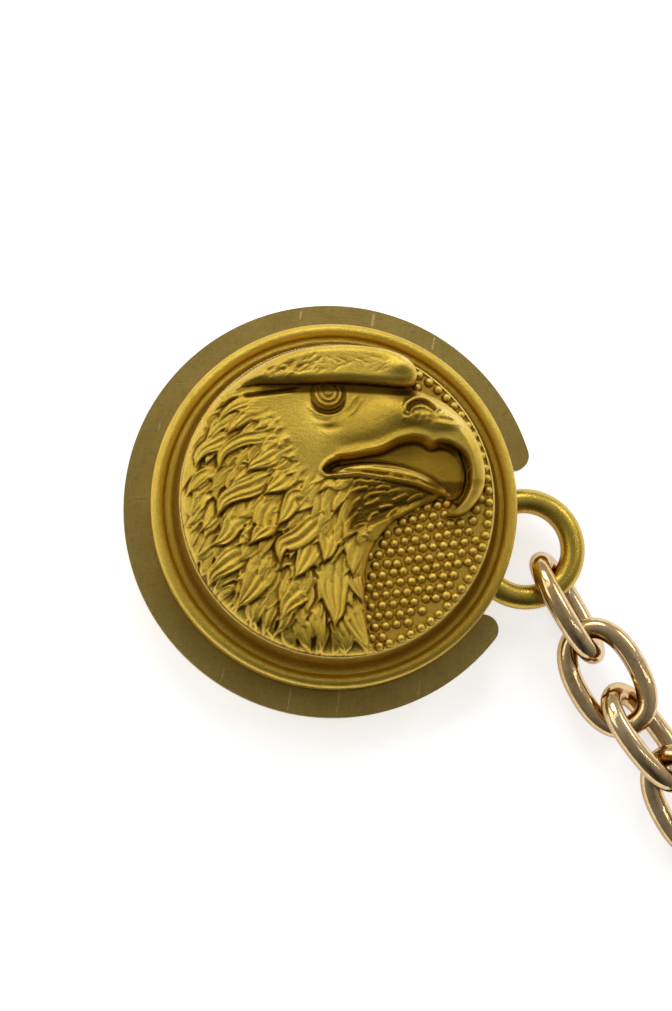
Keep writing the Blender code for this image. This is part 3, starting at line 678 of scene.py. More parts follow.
def eagle_height():
    """Height of the head over the field, with its outlines' signed distances."""
    head = inside_distance(HEAD_OUTLINE, 7.0)
    beak = inside_distance(BEAK_OUTLINE, 4.0)
    brow = inside_distance(BROW_OUTLINE, 3.0)
    mouth = inside_distance(MOUTH_OUTLINE, 3.0)
    jaw = inside_distance(JAW_OUTLINE, 2.0)
    face = inside_distance(FACE_OUTLINE, 3.0)

    form = 0.42 + dome(head, 3.2, 1.55)
    form += bump_at(-1.5, 6.2, 6.5, 4.2, 0.30, 10) + bump_at(-6.5, -3.0, 6.0, 9.0, 0.20, -20)
    form += bump_at(-0.8, 10.2, 3.4, 2.0, -0.26) + bump_at(4.2, 10.2, 3.2, 1.8, -0.12)
    throat = step(GX, 0.2, 2.6) * step(2.2 - GY, 0, 0.7) * step(GY - (0.42 * GX - 3.9), 0, 1.2)
    form -= (0.15 + 0.24 * np.clip(2.0 - GY, 0, 3.2)) * throat
    feathered = (1 - step(face, -1.5, 0.6)) * (1 - step(brow, -0.25, 0.3) * step(GX, -9.5, -6.0))
    feathered = feathered * step(-mouth, 0.2, 0.8) * (1 - 0.9 * throat)
    height = form + plumage_layer() * feathered + throat_strokes() * throat

    # the upper beak, blended into the cheek
    culmen_distance = line_distance(smooth_curve(BEAK_OUTLINE[: LIP_START + 1], False, 8), 4.0)
    lip_distance = line_distance(smooth_curve(BEAK_OUTLINE[LIP_START:LIP_END], False, 8), 2.4)
    lip_form = dome(lip_distance, 0.50, 1.25) + 0.11 * lip_distance
    beak_form = 0.95 + np.minimum(dome(culmen_distance, 2.5, 1.60), lip_form)
    beak_form += bump_at(9.4, 8.2, 4.0, 1.8, 0.50, -26) + bump_at(12.9, 5.2, 1.7, 3.2, 0.25, 16)
    cheek_side = line_distance(smooth_curve(CHEEK_EDGE, False), 5.0)
    fade = step(GX, 0.5, 6.0) * step(cheek_side, 0.0, 3.0)
    blended = beak_form * fade + form * (1 - fade)
    wall = np.maximum(step(beak, -0.04, 0.1), step(head, 0.2, 0.6) * (cheek_side < 1.5))
    height = np.where(beak > -0.05, np.maximum(height * (1 - wall), 0) + blended * wall, height)
    lore = 0.17 * bell(lip_distance, 1.05, 0.60) * between(GX, -1.2, 1.5, 10.4, 12.6)
    height += np.where(beak > 0, 0.17 * bell(lip_distance, 0.22, 0.14) - lore, 0)

    # the mouth: a slanted wall under the lip, a smooth floor, then the lower beak's ridges
    floor = 0.70 + 0.65 * step(3.4 - GX, -2.4, 4.4)
    depth_in = np.clip(mouth / 0.52, 0, 1)
    slanted = np.maximum(height, floor) * 0.86 * (1 - depth_in) + floor * depth_in
    height = np.where(mouth > 0, np.minimum(height, slanted - 0.08 * bell(mouth, 0.50, 0.12)), height)
    for x, y, size in TONGUE_BUMPS:
        height += bump_at(x, y, size, size, 0.16) * (beak < 0)
    jaw_form = 0.95 + dome(jaw, 0.7, 0.55) - 0.35 * step(GX, 6.5, 10.3) + 0.1 * step(-GX, -2, 2)
    height = np.where(jaw > -0.02, np.maximum(height, jaw_form), height)
    height += ridges(JAW_LINES) + ridge(*MOUTH_CORNER) * (mouth > -0.1)

    # the brow: a long smooth bulge that thins to the back, and the band that runs on down the crown
    brow_form = 1.95 + dome(brow, 0.90, 1.20) + 0.25 * step(GX, -4, 5) - 0.75 * step(-GX, 3.0, 9.2)
    brow_form += bump_at(6.2, 13.2, 1.7, 1.0, 0.42) - 0.55 * step(GR, 14.6, 15.5) * step(-GX, -5, 2)
    brow_wall = step(brow, -0.03, 0.08) * step(GX, -10.5, -6.8)
    height = np.maximum(height, 0) * (1 - brow_wall) + np.maximum(brow_form, height * 0.8) * brow_wall
    height += ridges([
        (CROWN_BAND, 0.50, 0.30, 1.5, 2.0),
        ([(x - 0.1, y + 0.85) for x, y in CROWN_BAND], 0.14, -0.12, 0.8, 1.6),
        (BROW_CREASE, 0.15, -0.24, 0.8, 1.0),
        ([(x, y + 0.34) for x, y in BROW_CREASE], 0.16, 0.14, 0.8, 1.0),
    ])
    return height, head, beak, brow, mouth


# the eye's dark crescent: a thin line at the sides that widens and deepens below the eyeball
EYE_X, EYE_Y, EYE_RADIUS = -0.85, 10.7, 1.42
EYE_RINGS = [(1.22, 0.17, 0.13), (0.98, -0.10, 0.09), (0.74, 0.13, 0.10), (0.42, -0.12, 0.11)]
EYE_LID = np.hypot(GX - EYE_X, GY - EYE_Y + 0.2)
EYE_LOW = np.clip((10.1 - GY) / 1.3, 0, 1)
EYE_CRESCENT = bell(EYE_LID, 1.70, 0.07 + 0.20 * EYE_LOW) * step(11.2 - GY, 0, 0.3)


def face_details(height):
    """Eye, lids, nostril, folds and the fine strokes on brow, cheek and crown."""
    from_eye = np.hypot(GX - EYE_X, GY - EYE_Y)
    eyeball = 0.36 * np.sqrt(np.clip(1 - (from_eye / EYE_RADIUS) ** 2, 0, 1))
    eye = eyeball - 0.18 * (1 - step(EYE_LID, 1.5, 1.95))
    for radius, rise, width in EYE_RINGS:
        eye += rise * bell(from_eye, radius, width)
    eye -= (0.09 + 0.28 * EYE_LOW) * EYE_CRESCENT
    height = height + eye * step(11.5 - GY, 0, 0.4) * step(2.3 - EYE_LID, 0, 0.3)
    height += bump_at(-0.8, 7.25, 1.1, 0.42, -0.22) + ridges(FACE_LINES)
    for x, y in NOSTRIL_GRAINS:
        height += bump_at(x, y, 0.3, 0.26, 0.10)
    for _ in range(46):
        x = rng.uniform(-8.5, 4.6)
        top = 14.6 - 0.035 * (x - 1.5) ** 2
        y = rng.uniform(12.2, max(top, 12.4))
        turn = math.radians(rng.uniform(20, 42) if y < 13.6 else rng.uniform(-38, -16))
        size = rng.uniform(0.7, 1.5)
        across, rise = size * math.cos(turn), size * math.sin(turn)
        line = [(x, y), (x + across * 0.5, y + rise * 0.55), (x + across, y + rise)]
        height += ridge(line, 0.10, -0.045 if x > -3 else -0.09, 0.4, 0.4)
    for _ in range(26):
        turn = math.radians(rng.uniform(106, 150))
        reach = rng.uniform(13.2, 15.0)
        x, y = reach * math.cos(turn), reach * math.sin(turn)
        size = rng.uniform(0.5, 1.1)
        line = [(x, y), (x - 0.5 * size, y - 0.18 * size), (x - size, y - 0.5 * size)]
        height += ridge(line, 0.11, 0.07, 0.4, 0.3)
    for x, y in CHEEK_FLECKS:
        height += ridge([(x, y), (x - 0.35, y - 0.1), (x - 0.65, y - 0.4)], 0.12, 0.12, 0.5, 0.25)
    return height


def solid_from_height(name, height, keep, low):
    """A closed piece from the kept cells of the height grid, and which grid points it uses.

    Its edge is let down to a low level, where flat caps close it.
    """
    quads = keep[:-1, :-1] & keep[1:, :-1] & keep[:-1, 1:] & keep[1:, 1:]
    whole = np.zeros(keep.shape, int)
    for rows in (slice(0, -1), slice(1, None)):
        for columns in (slice(0, -1), slice(1, None)):
            whole[rows, columns] += quads
    used = whole > 0
    level = np.where(whole < 4, low, height)
    number = np.full(keep.shape, -1)
    number[used] = np.arange(used.sum())
    points = np.column_stack([GX[used] * SHRINK - SHIFT_X, GY[used] * SHRINK - SHIFT_Y, level[used]])
    j, i = np.nonzero(quads)
    faces = np.column_stack([number[j, i], number[j, i + 1], number[j + 1, i + 1], number[j + 1, i]])
    edges = np.vstack([faces[:, (k, (k + 1) % 4)] for k in range(4)])
    keys = edges.min(1) * len(points) + edges.max(1)
    order, counts = np.unique(keys, return_counts=True)
    open_edges = edges[np.isin(keys, order[counts == 1])]
    follow = {int(b): int(a) for a, b in open_edges}
    caps = []
    while follow:
        start, here = follow.popitem()
        loop = [start]
        while here != start and here in follow:
            loop.append(here)
            here = follow.pop(here)
        caps.append(loop)
    return mesh_from(name, points, faces.tolist() + caps), used


def mark_recess(mesh, values):
    """Store a recess mark on each point, from which the material paints shade, partly patina, and highlights:
    1 deep, 0 level, -1 on a crest.
    """
    layer = mesh.attributes.new("recess", "FLOAT", "POINT")
    layer.data.foreach_set("value", values.astype(np.float32))


def eagle_recess(height, beak, brow, mouth, outline):
    """How deep in a recess each place is: read from the relief, with painted shadow, shade and highlights,
    partly patina, that form doesn't give.
    """
    # painted shade in hollows and painted highlights on crests, from how far the relief lies under or over a
    # softened copy of itself
    near = soften(height, 10) - height
    wide = soften(height, 90) - height
    recess = np.clip(near * 9.0, -1, 1) * 0.6 + np.clip(wide * 3.0, -1, 1) * 0.5
    recess = np.where(recess > 0, np.clip(recess * 1.4 - 0.04, 0, 1), recess * step(outline, 0.2, 0.9))
    # painted shade on the mouth's floor, and a painted dark line along the foot of the lip's slanted wall
    recess = np.maximum(recess, 0.55 * step(mouth, 0.0, 0.5) * step(1.7 - height, 0, 0.3))
    recess = np.maximum(recess, 0.48 * bell(mouth, 0.48, 0.16) * step(GY, 2.9, 4.0))
    # painted shadow in the band under the brow's overhang
    painted_brow_shadow = step(GY + 0.05 * np.abs(GX), 10.65, 10.95) * step(12.6 - GY, 0, 0.3)
    painted_brow_shadow = painted_brow_shadow * between(GX, -8.6, -6.6, 7.4, 8.2) * step(-brow, -0.08, 0.05)
    recess = np.maximum(recess, painted_brow_shadow)
    # somewhat darker over the plumage, and painted shade under the jaw, where the throat faces down
    plumage = soften(((GX < -3.0) | (GY < 2.6)).astype(float), 60) * step(-mouth, -0.1, 0.3)
    throat = step(GX, 0.0, 1.8) * step(2.5 - GY, 0, 0.5) * step(GY - (0.42 * GX - 4.4), 0, 1.0)
    recess += 0.16 * plumage * step(outline, 0.2, 0.8) * (1 - throat) + 0.50 * throat
    # painted shade in the nostril and in the eye's crescent, deepest below the eyeball
    recess += ridge(NOSTRIL, 0.30, 0.35, 1.2, 0.3) + (0.1 + 0.6 * EYE_LOW) * EYE_CRESCENT
    # painted shade lifted along the jaw, and painted shade added on the cheek and inside the hook
    recess -= 0.30 * bell(GY, 2.5, 0.9) * between(GX, -0.8, 0.6, 8.4, 9.6)
    recess += 0.24 * between(GX, -3.0, 1.0, 7.0, 9.0) * between(GY, 3.6, 5.0, 9.9, 10.9)
    recess += 0.22 * bell(GX, 13.5, 0.8) * bell(GY, 3.2, 2.4)
    # painted highlights: the arch over the nostril, the culmen, the brow's end and the lip
    recess -= 0.5 * ridge(ARCH, 0.25, 1.0, 1.2, 0.3)
    recess -= ridge([(9.9, 9.2), (10.9, 8.6), (11.8, 7.9), (12.5, 7.0)], 0.34, 1.0, 1.4, 0.6)
    recess -= ridge([(6.0, 14.2), (6.5, 13.8), (6.9, 13.3)], 0.30, 0.9, 1.2, 0.4)
    recess -= 0.8 * bell(mouth, -0.16, 0.11) * step(GY, 4.3, 5.2) * step(beak, 0, 0.1)
    return np.clip(recess, -1, 1)


height, head, beak, brow, mouth = eagle_height()
height = soften(face_details(height))
outline = np.maximum(np.maximum(head, beak), np.maximum(brow, mouth))
fall = step(outline, -0.12, 0.10)
EAGLE_SINK = 0.3                     # how far the head's edge goes down into the field
surface = FIELD_Z + height * fall - EAGLE_SINK * (1 - fall)
keep = (outline > -0.16) & (GR < FIELD_R - 0.01)
eagle_mesh, eagle_used = solid_from_height("eagle_head", surface, keep, FIELD_Z - EAGLE_SINK)
mark_recess(eagle_mesh, eagle_recess(height, beak, brow, mouth, outline)[eagle_used])
add_piece("eagle_head", eagle_mesh, gilt, "badge")


# ---------------------------------------------------------------- beaded field
def bead_places():
    """Beads in staggered, slanted rows, with a row along the field's edge, left out under the head."""
    edge_ring = FIELD_R - 0.62
    count = int(2 * math.pi * edge_ring / 1.12)
    ring_places = []
    for k in range(count):
        turn = 2 * math.pi * (k + rng.uniform(-0.08, 0.08)) / count
        ring_places.append((edge_ring * math.cos(turn), edge_ring * math.sin(turn), 0.45))
    places = list(ring_places)
    across, upright, lean, room = 1.05, 0.98, math.radians(9), 0.80
    for column in range(-16, 17):
        for row in range(-16, 17):
            along, up = (column + 0.5 * (row % 2)) * across, row * upright
            x = along * math.cos(lean) - up * math.sin(lean) + rng.normal(0, 0.05)
            y = along * math.sin(lean) + up * math.cos(lean) + rng.normal(0, 0.05)
            gap = min(math.hypot(x - ring_x, y - ring_y) for ring_x, ring_y, _ in ring_places)
            if math.hypot(x, y) < edge_ring and gap > room:
                places.append((x, y, rng.uniform(0.43, 0.48)))
    kept = []
    for x, y, radius in places:
        i = int(round((x + SHIFT_X) / SHRINK / CELL)) + HALF_CELLS
        j = int(round((y + SHIFT_Y) / SHRINK / CELL)) + HALF_CELLS
        if outline[j, i] < 0.1:
            kept.append((x, y, FIELD_Z, radius))
    return kept


def edge_grain_places():
    """The row of small grains along the face's top left edge."""
    ring, pitch = 15.17, 0.36
    places = []
    for turn in np.arange(math.radians(80), math.radians(150), pitch / ring):
        size = 0.17 + rng.uniform(-0.02, 0.02)
        places.append((ring * math.cos(turn), ring * math.sin(turn), FIELD_Z + 0.06, size))
    return places


def add_studs(name, profile, top, around, places, marks):
    """Small domed stubs as one piece: rings of radius and height, and a top, times each stub's own size."""
    turns = np.linspace(0, 2 * math.pi, around, endpoint=False)
    stub = [(r * math.cos(a), r * math.sin(a), z) for r, z in profile for a in turns]
    stub = np.array(stub + [(0, 0, top)])
    tip = len(stub) - 1
    beside = [(k, (k + 1) % around) for k in range(around)]
    faces = []
    for low in range(0, tip - around, around):
        faces += [(low + k, low + n, low + around + n, low + around + k) for k, n in beside]
    faces += [(tip - around + k, tip - around + n, tip) for k, n in beside]
    faces.append(tuple(range(around - 1, -1, -1)))
    points, all_faces = [], []
    for x, y, z, size in places:
        all_faces += [tuple(len(points) + v for v in face) for face in faces]
        points += (stub * size + (x, y, z)).tolist()
    mesh = mesh_from(name, points, all_faces)
    mark_recess(mesh, np.tile(marks(stub[:, 2]), len(places)))
    add_piece(name, mesh, gilt, "badge")


# each bead a short stub with a domed top and a fillet at its foot
BEAD_NECK, BEAD_DOME = 0.22, 0.80
bead_profile = [(1.26, -0.10), (1.10, 0.03), (1.00, 0.16)]
for a in np.radians((8, 22, 37, 52, 66, 79)):
    bead_profile.append((0.95 * math.cos(a), BEAD_NECK + BEAD_DOME * math.sin(a)))
# the beads' marks: painted shade at each foot, fading to a painted highlight on top
add_studs(
    "field_beads", bead_profile, BEAD_NECK + BEAD_DOME, 16, bead_places(),
    lambda heights: np.clip(0.42 - heights * 0.7, -0.3, 0.42),
)
# the grains' mark: a painted highlight all over
add_studs(
    "face_edge_grains", [(1.15, -0.5), (1.0, 0.1), (0.8, 0.6), (0.42, 0.92)], 1, 10, edge_grain_places(),
    lambda heights: np.full_like(heights, -0.35),
)


# ---------------------------------------------------------------- turned shapes
def arc_points(centre, radius, start, end, steps):
    turn = np.radians(np.linspace(start, end, steps + 1))
    return [(centre[0] + radius * math.cos(a), centre[1] + radius * math.sin(a)) for a in turn]


def turned(name, profile, steps, shape=None, centre=(0, 0)):
    """A turned solid from radius and height pairs; shape may change a radius by its height and angle."""
    points, rings = [], []
    for r, z in profile:
        if r < 1e-6:
            rings.append([len(points)])
            points.append((*centre, z))
        else:
            rings.append(list(range(len(points), len(points) + steps)))
            for k in range(steps):
                turn = 2 * math.pi * k / steps
                q = shape(r, z, turn) if shape else r
                points.append((centre[0] + q * math.cos(turn), centre[1] + q * math.sin(turn), z))
    closed = len(rings[0]) > 1
    faces = []
    for upper, lower in list(zip(rings[:-1], rings[1:])) + ([(rings[-1], rings[0])] if closed else []):
        for k in range(steps):
            n = (k + 1) % steps
            if len(upper) == 1:
                faces.append((upper[0], lower[k], lower[n]))
            elif len(lower) == 1:
                faces.append((upper[k], lower[0], upper[n]))
            else:
                faces.append((upper[k], lower[k], lower[n], upper[n]))
    return mesh_from(name, points, faces)


def face_shell_profile():
    """A flat field with a fine edge bead, the face's hollow side, the rim's bead, its waist and its foot."""
    profile = [(r, FIELD_Z) for r in (0, 4, 8, 12, 14, 14.8, 15.02)]
    profile += arc_points((15.16, FIELD_Z - 0.02), 0.13, 165, -10, 8)
    profile += [(15.34, FIELD_Z - 0.30), (15.37, FIELD_Z - 0.55)]
    low = RIM_TOP_Z - 0.62
    rise = FIELD_Z - 0.6 - low
    for t in np.linspace(0.08, 1, 16):
        bend = 1 - math.cos(t * math.pi / 2)
        profile.append((15.38 + 1.14 * bend, FIELD_Z - 0.6 - rise * math.sin(t * math.pi / 2) ** 1.1))
    profile += [(16.58, low - 0.03), (16.66, low)]
    profile += arc_points((17.33, RIM_TOP_Z - 0.68), 0.68, 172, -38, 28)
    profile += arc_points((18.1, BACK_Z + 1.75), 0.62, 118, 200, 10)
    profile += [(17.52, BACK_Z + 0.85)]
    profile += arc_points((17.72, BACK_Z + 0.52), 0.24, 130, -10, 8)
    profile += [(MEDALLION_R, BACK_Z + 0.36), (MEDALLION_R, BACK_Z + 0.05), (MEDALLION_R - 0.05, BACK_Z)]
    profile += [(15.5, BACK_Z), (15.5, BACK_Z + 1.25), (0, BACK_Z + 1.25)]
    return profile


def shell_marks(mesh):
    """The shell's recess marks: painted shade on the field, a painted highlight on the edge bead, and painted
    shade on the side, lighter towards the bottom, and on the rim, heavier towards the lower right.
    """
    points = np.array([v.co for v in mesh.vertices]) / MM
    radii, heights = np.hypot(points[:, 0], points[:, 1]), points[:, 2]
    bearing = np.degrees(np.arctan2(points[:, 1], points[:, 0]))
    field = (radii < 15.1) & (heights > FIELD_Z - 0.1)
    edge_bead = (radii > 15.0) & (radii < 15.3) & (heights > FIELD_Z - 0.05)
    side = (radii > 15.3) & (radii < 16.9) & (heights > RIM_TOP_Z - 1.2)
    # painted shade on the hollow side and the rim, changing round the badge with the light
    painted_side_shade = 0.30 - 0.18 * bell(bearing, -95, 45)
    painted_rim_shade = 0.05 + 0.24 * bell(bearing, -48, 36)
    return np.select([field, edge_bead, side], [0.30, -0.5, painted_side_shade], painted_rim_shade)


shell_mesh = turned("medallion_shell", face_shell_profile(), 300)
mark_recess(shell_mesh, shell_marks(shell_mesh))
shell = add_piece("medallion_shell", shell_mesh, gilt, "badge")
shell_mesh.set_sharp_from_angle(angle=math.radians(50))
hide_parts("face_shell")


# ---------------------------------------------------------------- wires: ring, links and hook
def tube(name, path, radius, sides):
    """A round wire along a closed flat path of points, in millimetres."""
    path = np.asarray(path, float)
    tangents = np.roll(path, -1, 0) - np.roll(path, 1, 0)
    tangents /= np.linalg.norm(tangents, axis=1)[:, None]
    normal = np.linalg.svd(path - path.mean(0))[2][2]
    side = np.cross(normal, tangents)
    side /= np.linalg.norm(side, axis=1)[:, None]
    rise = np.cross(tangents, side)
    turn = np.linspace(0, 2 * math.pi, sides, endpoint=False)[:, None]
    rings = [p + radius * (np.cos(turn) * s + np.sin(turn) * r) for p, s, r in zip(path, side, rise)]
    number = np.arange(len(path) * sides).reshape(len(path), sides)
    beside = np.roll(number, -1, 1)
    faces = np.stack([number, beside, np.roll(beside, -1, 0), np.roll(number, -1, 0)], -1).reshape(-1, 4)
    mesh = mesh_from(name, np.vstack(rings), faces.tolist())
    check = bmesh.new()
    check.from_mesh(mesh)
    bmesh.ops.recalc_face_normals(check, faces=check.faces)
    check.to_mesh(mesh)
    check.free()
    return mesh


def lying_axes(node):
    """Middle, and length, width and thickness directions, of a flat wire piece, from its CAD points."""
    points = np.array([v.co for v in nodes[node].data.vertices]) / MM
    points = np.unique(np.round(points, 5), axis=0)
    low, high = points.min(0), points.max(0)
    middle = (low + high) / 2
    for _ in range(3):
        directions = np.linalg.svd(points - middle, full_matrices=False)[2]
        local = (points - middle) @ directions.T
        middle = middle + ((local.max(0) + local.min(0)) / 2) @ directions
    return middle, directions


LINK_LENGTH, LINK_WIDTH, LINK_WIRE = 12.7, 8.5, 1.08
LINK_OVAL = 0.87
LINK_SKIN = 0.02                     # the visible wire is this much thinner, so that touching links don't cut


def link_path(node):
    """The centre line of a cable-chain link: an oval a little squarer than an ellipse."""
    middle, directions = lying_axes(node)
    half_length, half_width = LINK_LENGTH / 2 - LINK_WIRE, LINK_WIDTH / 2 - LINK_WIRE
    path = []
    for turn in np.linspace(0, 2 * math.pi, 140, endpoint=False):
        c, s = math.cos(turn), math.sin(turn)
        x = math.copysign(half_length * abs(c) ** LINK_OVAL, c)
        y = math.copysign(half_width * abs(s) ** LINK_OVAL, s)
        path.append(middle + directions[0] * x + directions[1] * y)
    return path


def paint_underside_shade(mesh, most):
    """Painted brown shade on a wire, growing from its sides to the half that faces the floor."""
    normals = np.empty(len(mesh.vertices) * 3)
    mesh.vertex_normals.foreach_get("vector", normals)
    mark_recess(mesh, most * step(-normals.reshape(-1, 3)[:, 2], -0.62, -0.05))


for name in sorted(n for n in nodes if n.startswith("chain_link_")):
    body = nodes[name]["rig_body"]
    mesh = tube(name + "_wire", link_path(name), LINK_WIRE - LINK_SKIN, 28)
    # painted shade on the link's underside
    paint_underside_shade(mesh, 1.0)
    link = add_piece(name + "_wire", mesh, pale_gold, body)
    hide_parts(name)

RING_WIRE = 1.23
ring_low, ring_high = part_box("chain_ring")
ring_middle = (ring_low + ring_high) / 2 / MM
ring_radius = (ring_high.x - ring_low.x) / 2 / MM - RING_WIRE
ring_path = [
    (ring_middle.x + ring_radius * math.cos(a), ring_middle.y + ring_radius * math.sin(a), ring_middle.z)
    for a in np.linspace(0, 2 * math.pi, 128, endpoint=False)
]
ring_mesh = tube("ring_wire", ring_path, RING_WIRE, 32)
# painted shade on the ring's underside
paint_underside_shade(ring_mesh, 0.8)
ring = add_piece("ring_wire", ring_mesh, gilt_wire, "ring")
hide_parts("chain_ring")

# ---------------------------------------------------------------- back of the badge
TURNED_CREASE = math.radians(35)


def replace_turned(node, name, profile, steps, material, shape=None, centre=(0, 0)):
    """A turned piece in the place of a CAD node, on the node's own body."""
    mesh = turned(name, profile, steps, shape, centre)
    piece = add_piece(name, mesh, material, nodes[node]["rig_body"])
    mesh.set_sharp_from_angle(angle=TURNED_CREASE)
    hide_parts(node)


NUT_R = (nut_high.x - nut_low.x) / 2 / MM
NUT_LOW, NUT_HIGH = nut_low.z / MM, nut_high.z / MM
NUT_BORE = 2.1
NUT_FLUTES = 30
FLUTE_DEPTH = 0.26


def knurl(r, z, turn):
    """Rounded flutes round the nut's side, fading out towards its chamfers."""
    if r < NUT_R - 0.9:
        return r
    middle = 1 - abs((z - (NUT_LOW + NUT_HIGH) / 2) / ((NUT_HIGH - NUT_LOW) / 2)) ** 6
    return r - FLUTE_DEPTH * abs(math.sin(turn * NUT_FLUTES / 2)) ** 3 * max(middle, 0)


nut_profile = [(NUT_BORE, NUT_HIGH - 0.2), (NUT_BORE + 0.2, NUT_HIGH)]
nut_profile += [(NUT_R - 1.0, NUT_HIGH), (NUT_R - 0.45, NUT_HIGH), (NUT_R - 0.12, NUT_HIGH - 0.18)]
nut_profile += [(NUT_R, z) for z in np.linspace(NUT_HIGH - 0.35, NUT_LOW + 0.35, 9)]
nut_profile += [(NUT_R - 0.12, NUT_LOW + 0.18), (NUT_R - 0.45, NUT_LOW), (NUT_R - 0.95, NUT_LOW)]
nut_profile += [(r, NUT_LOW + 0.16) for r in (NUT_R - 1.1, NUT_BORE + 1.7)]
nut_profile += [(r, NUT_LOW + 0.02) for r in (NUT_BORE + 1.5, NUT_BORE + 0.35)] + [(NUT_BORE, NUT_LOW + 0.35)]
replace_turned("thumb_nut", "fluted_thumb_nut", nut_profile, 360, turned_brass, knurl)

POST_R, THREAD_PITCH, THREAD_DEPTH = 2.0, 0.7, 0.30
POST_LOW, POST_HIGH = post_low.z / MM, post_high.z / MM


def thread(r, z, turn):
    """A rounded M4 thread cut into the post, run out below the head plate."""
    if r < POST_R - 0.01:
        return r
    phase = (z / THREAD_PITCH - turn / (2 * math.pi)) % 1
    return r - THREAD_DEPTH * (0.5 - 0.5 * math.cos(2 * math.pi * phase)) ** 0.8


post_profile = [(0, POST_HIGH)] + [(POST_R, z) for z in np.arange(POST_HIGH, POST_LOW + 0.35, -0.07)]
post_profile += [(POST_R - 0.36, POST_LOW + 0.08), (POST_R - 0.48, POST_LOW), (0, POST_LOW)]
replace_turned("threaded_post", "screw_post", post_profile, 72, turned_brass, thread)

WASHER_R, WASHER_BORE = (washer_high.x - washer_low.x) / 2 / MM, 2.25
washer_half = (washer_high.z - washer_low.z) / 2 / MM
washer_middle = (washer_high.z + washer_low.z) / 2 / MM
washer_edge = [(WASHER_BORE, 0.12), (WASHER_BORE + 0.12, 0)]
washer_edge += [(WASHER_R - 0.25, 0), (WASHER_R - 0.08, 0.07), (WASHER_R, 0.25)]
washer_profile = [(r, washer_middle + washer_half - drop) for r, drop in washer_edge]
washer_profile += [(r, washer_middle - washer_half + drop) for r, drop in reversed(washer_edge)]
replace_turned("washer", "flat_washer", washer_profile, 160, plated_steel)

DISC_R = (disc_high.x - disc_low.x) / 2 / MM
DISC_LOW, DISC_HIGH = disc_low.z / MM, disc_high.z / MM
disc_profile = [(0, DISC_HIGH), (DISC_R - 0.15, DISC_HIGH), (DISC_R, DISC_HIGH - 0.15)]
disc_profile += [(DISC_R, DISC_LOW + 0.12), (DISC_R - 0.12, DISC_LOW), (DISC_R - 1.2, DISC_LOW)]
disc_profile += [(DISC_R - 1.35, DISC_LOW + 0.1), (DISC_R - 1.6, DISC_LOW + 0.1)]
disc_profile += [(r, DISC_LOW) for r in (DISC_R - 1.75, 6.0, 0)]
replace_turned("closing_disc", "spun_closing_disc", disc_profile, 220, turned_brass)

for node in ("locating_pin_1", "locating_pin_2"):
    pin_low, pin_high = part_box(node)
    pin_r = (pin_high.x - pin_low.x) / 2 / MM
    foot, top = pin_low.z / MM, pin_high.z / MM
    middle = ((pin_low.x + pin_high.x) / 2 / MM, (pin_low.y + pin_high.y) / 2 / MM)
    pin_profile = [(0, top), (pin_r, top), (pin_r, foot + 0.35)]
    for a in np.radians((25, 50, 75, 90)):
        pin_profile.append((pin_r - 0.32 * (1 - math.cos(a)), foot + 0.35 * (1 - math.sin(a))))
    pin_profile.append((0, foot))
    name = node.replace("locating", "round_end")
    replace_turned(node, name, pin_profile, 48, turned_brass, None, middle)


# ---------------------------------------------------------------- hook, and pieces that keep their CAD shape
def rounded_wire(node, name, growth):
    """A bent wire's CAD mesh as quads, subdivided to a round section and let out again to its own width."""
    quads = bmesh.new()
    quads.from_mesh(nodes[node].data)
    bmesh.ops.remove_doubles(quads, verts=quads.verts, dist=0.005 * MM)
    bend, skew = math.radians(30), math.radians(60)
    bmesh.ops.join_triangles(quads, faces=quads.faces, angle_face_threshold=bend, angle_shape_threshold=skew)
    coarse = bpy.data.meshes.new(name)
    quads.to_mesh(coarse)
    quads.free()
    guide = bpy.data.objects.new(name + "_coarse", coarse)
    pieces.objects.link(guide)
    rounding = guide.modifiers.new("round", "SUBSURF")
    rounding.levels = rounding.render_levels = 3
    bpy.context.view_layer.update()
    smooth = bpy.data.meshes.new_from_object(guide.evaluated_get(bpy.context.evaluated_depsgraph_get()))
    bpy.data.objects.remove(guide, do_unlink=True)
    smooth.name = name
    smooth.materials.clear()
    normals = np.empty(len(smooth.vertices) * 3)
    smooth.vertex_normals.foreach_get("vector", normals)
    points = np.empty(len(smooth.vertices) * 3)
    smooth.vertices.foreach_get("co", points)
    smooth.vertices.foreach_set("co", points + growth * MM * normals)
    smooth.update()
    return smooth


hook_mesh = rounded_wire("end_hook", "end_hook_wire", 0.015)
# painted shade on the hook's underside
paint_underside_shade(hook_mesh, 1.0)
hook = add_piece("end_hook_wire", hook_mesh, pale_gold, nodes["end_hook"]["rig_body"])
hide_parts("end_hook")

for name, material in (("backing_plate", plate_brass), ("ring_eye", gilt_wire)):
    data = nodes[name].data
    data.materials.clear()
    data.materials.append(material)

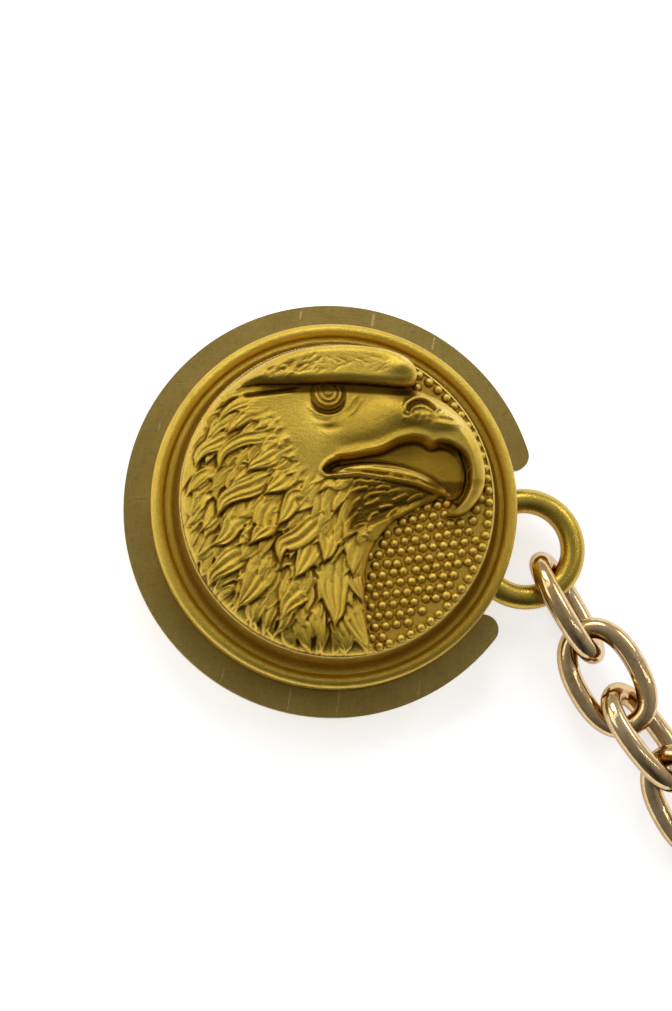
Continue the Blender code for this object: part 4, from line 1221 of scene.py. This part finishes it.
# ---------------------------------------------------------------- floor, light and camera
FLOOR_HALF, FLOOR_Z = 900, -0.02
floor_corners = [(x * FLOOR_HALF, y * FLOOR_HALF, FLOOR_Z) for x, y in ((-1, -1), (1, -1), (1, 1), (-1, 1))]
floor_mesh = mesh_from("floor", floor_corners, [(0, 1, 2, 3)])
floor_look = Nodes(bpy.data.materials.new("pale_floor"))
floor_look.finish(Base_Color=(0.93, 0.93, 0.925), Roughness=0.9, Metallic=0.0)
floor_look.finish(Emission_Color=(1, 1, 1), Emission_Strength=0.64)
floor_mesh.materials.append(floor_look.owner)
floor = bpy.data.objects.new("floor", floor_mesh)
bpy.context.scene.collection.objects.link(floor)


def soft_light(name, position_mm, width_mm, height_mm, power):
    """A soft box that faces the badge."""
    data = bpy.data.lights.new(name, "AREA")
    data.shape = "RECTANGLE"
    data.size, data.size_y = width_mm * MM, height_mm * MM
    data.energy = power
    lamp = bpy.data.objects.new(name, data)
    lamp.location = Vector(position_mm) * MM
    lamp.rotation_euler = (-lamp.location).to_track_quat("-Z", "Y").to_euler()
    bpy.context.scene.collection.objects.link(lamp)


soft_light("top_box", (-60, 460, 400), 360, 180, 0.82)
soft_light("left_box", (-440, 120, 320), 400, 280, 0.44)
soft_light("right_box", (400, 330, 320), 170, 150, 0.34)
soft_light("long_strip", (-120, 250, 430), 420, 8, 0.08)
soft_light("side_strip", (330, 60, 400), 8, 320, 0.08)

# the room's light grows brighter from below to above and a little towards both sides
room = Nodes(bpy.data.worlds.new("studio"))
bpy.context.scene.world = room.owner
way = room.coordinates["Generated"]
sides = room.times(room.size_of(way, "X"), 0.16)
above = room.remap(room.node("SeparateXYZ", "Y", Vector=way), -0.7, 0.6, 0.03, 0.43)
background = room.tree.nodes["Background"]
room.put((1, 1, 1), background.inputs["Color"])
room.put(room.plus(sides, above), background.inputs["Strength"])

bpy.context.scene.view_settings.view_transform = "Standard"

camera_data = bpy.data.cameras.new("camera")
camera_data.lens = 85
camera_data.sensor_width = 36
camera_data.clip_start = 0.01
camera = bpy.data.objects.new("camera", camera_data)
bpy.context.scene.collection.objects.link(camera)
lean_left, lean_down = math.radians(5), math.radians(8.3)
toward = Vector((-math.tan(lean_left), -math.tan(lean_down), 1)).normalized()
right = Vector((0, 1, 0)).cross(toward).normalized()
up = toward.cross(right)
target = Vector((0.08, -0.10, 8.2)) * MM
camera_place = target + toward * 233.6 * MM
camera.matrix_world = Matrix.Translation(camera_place) @ Matrix((right, up, toward)).transposed().to_4x4()
bpy.context.scene.camera = camera
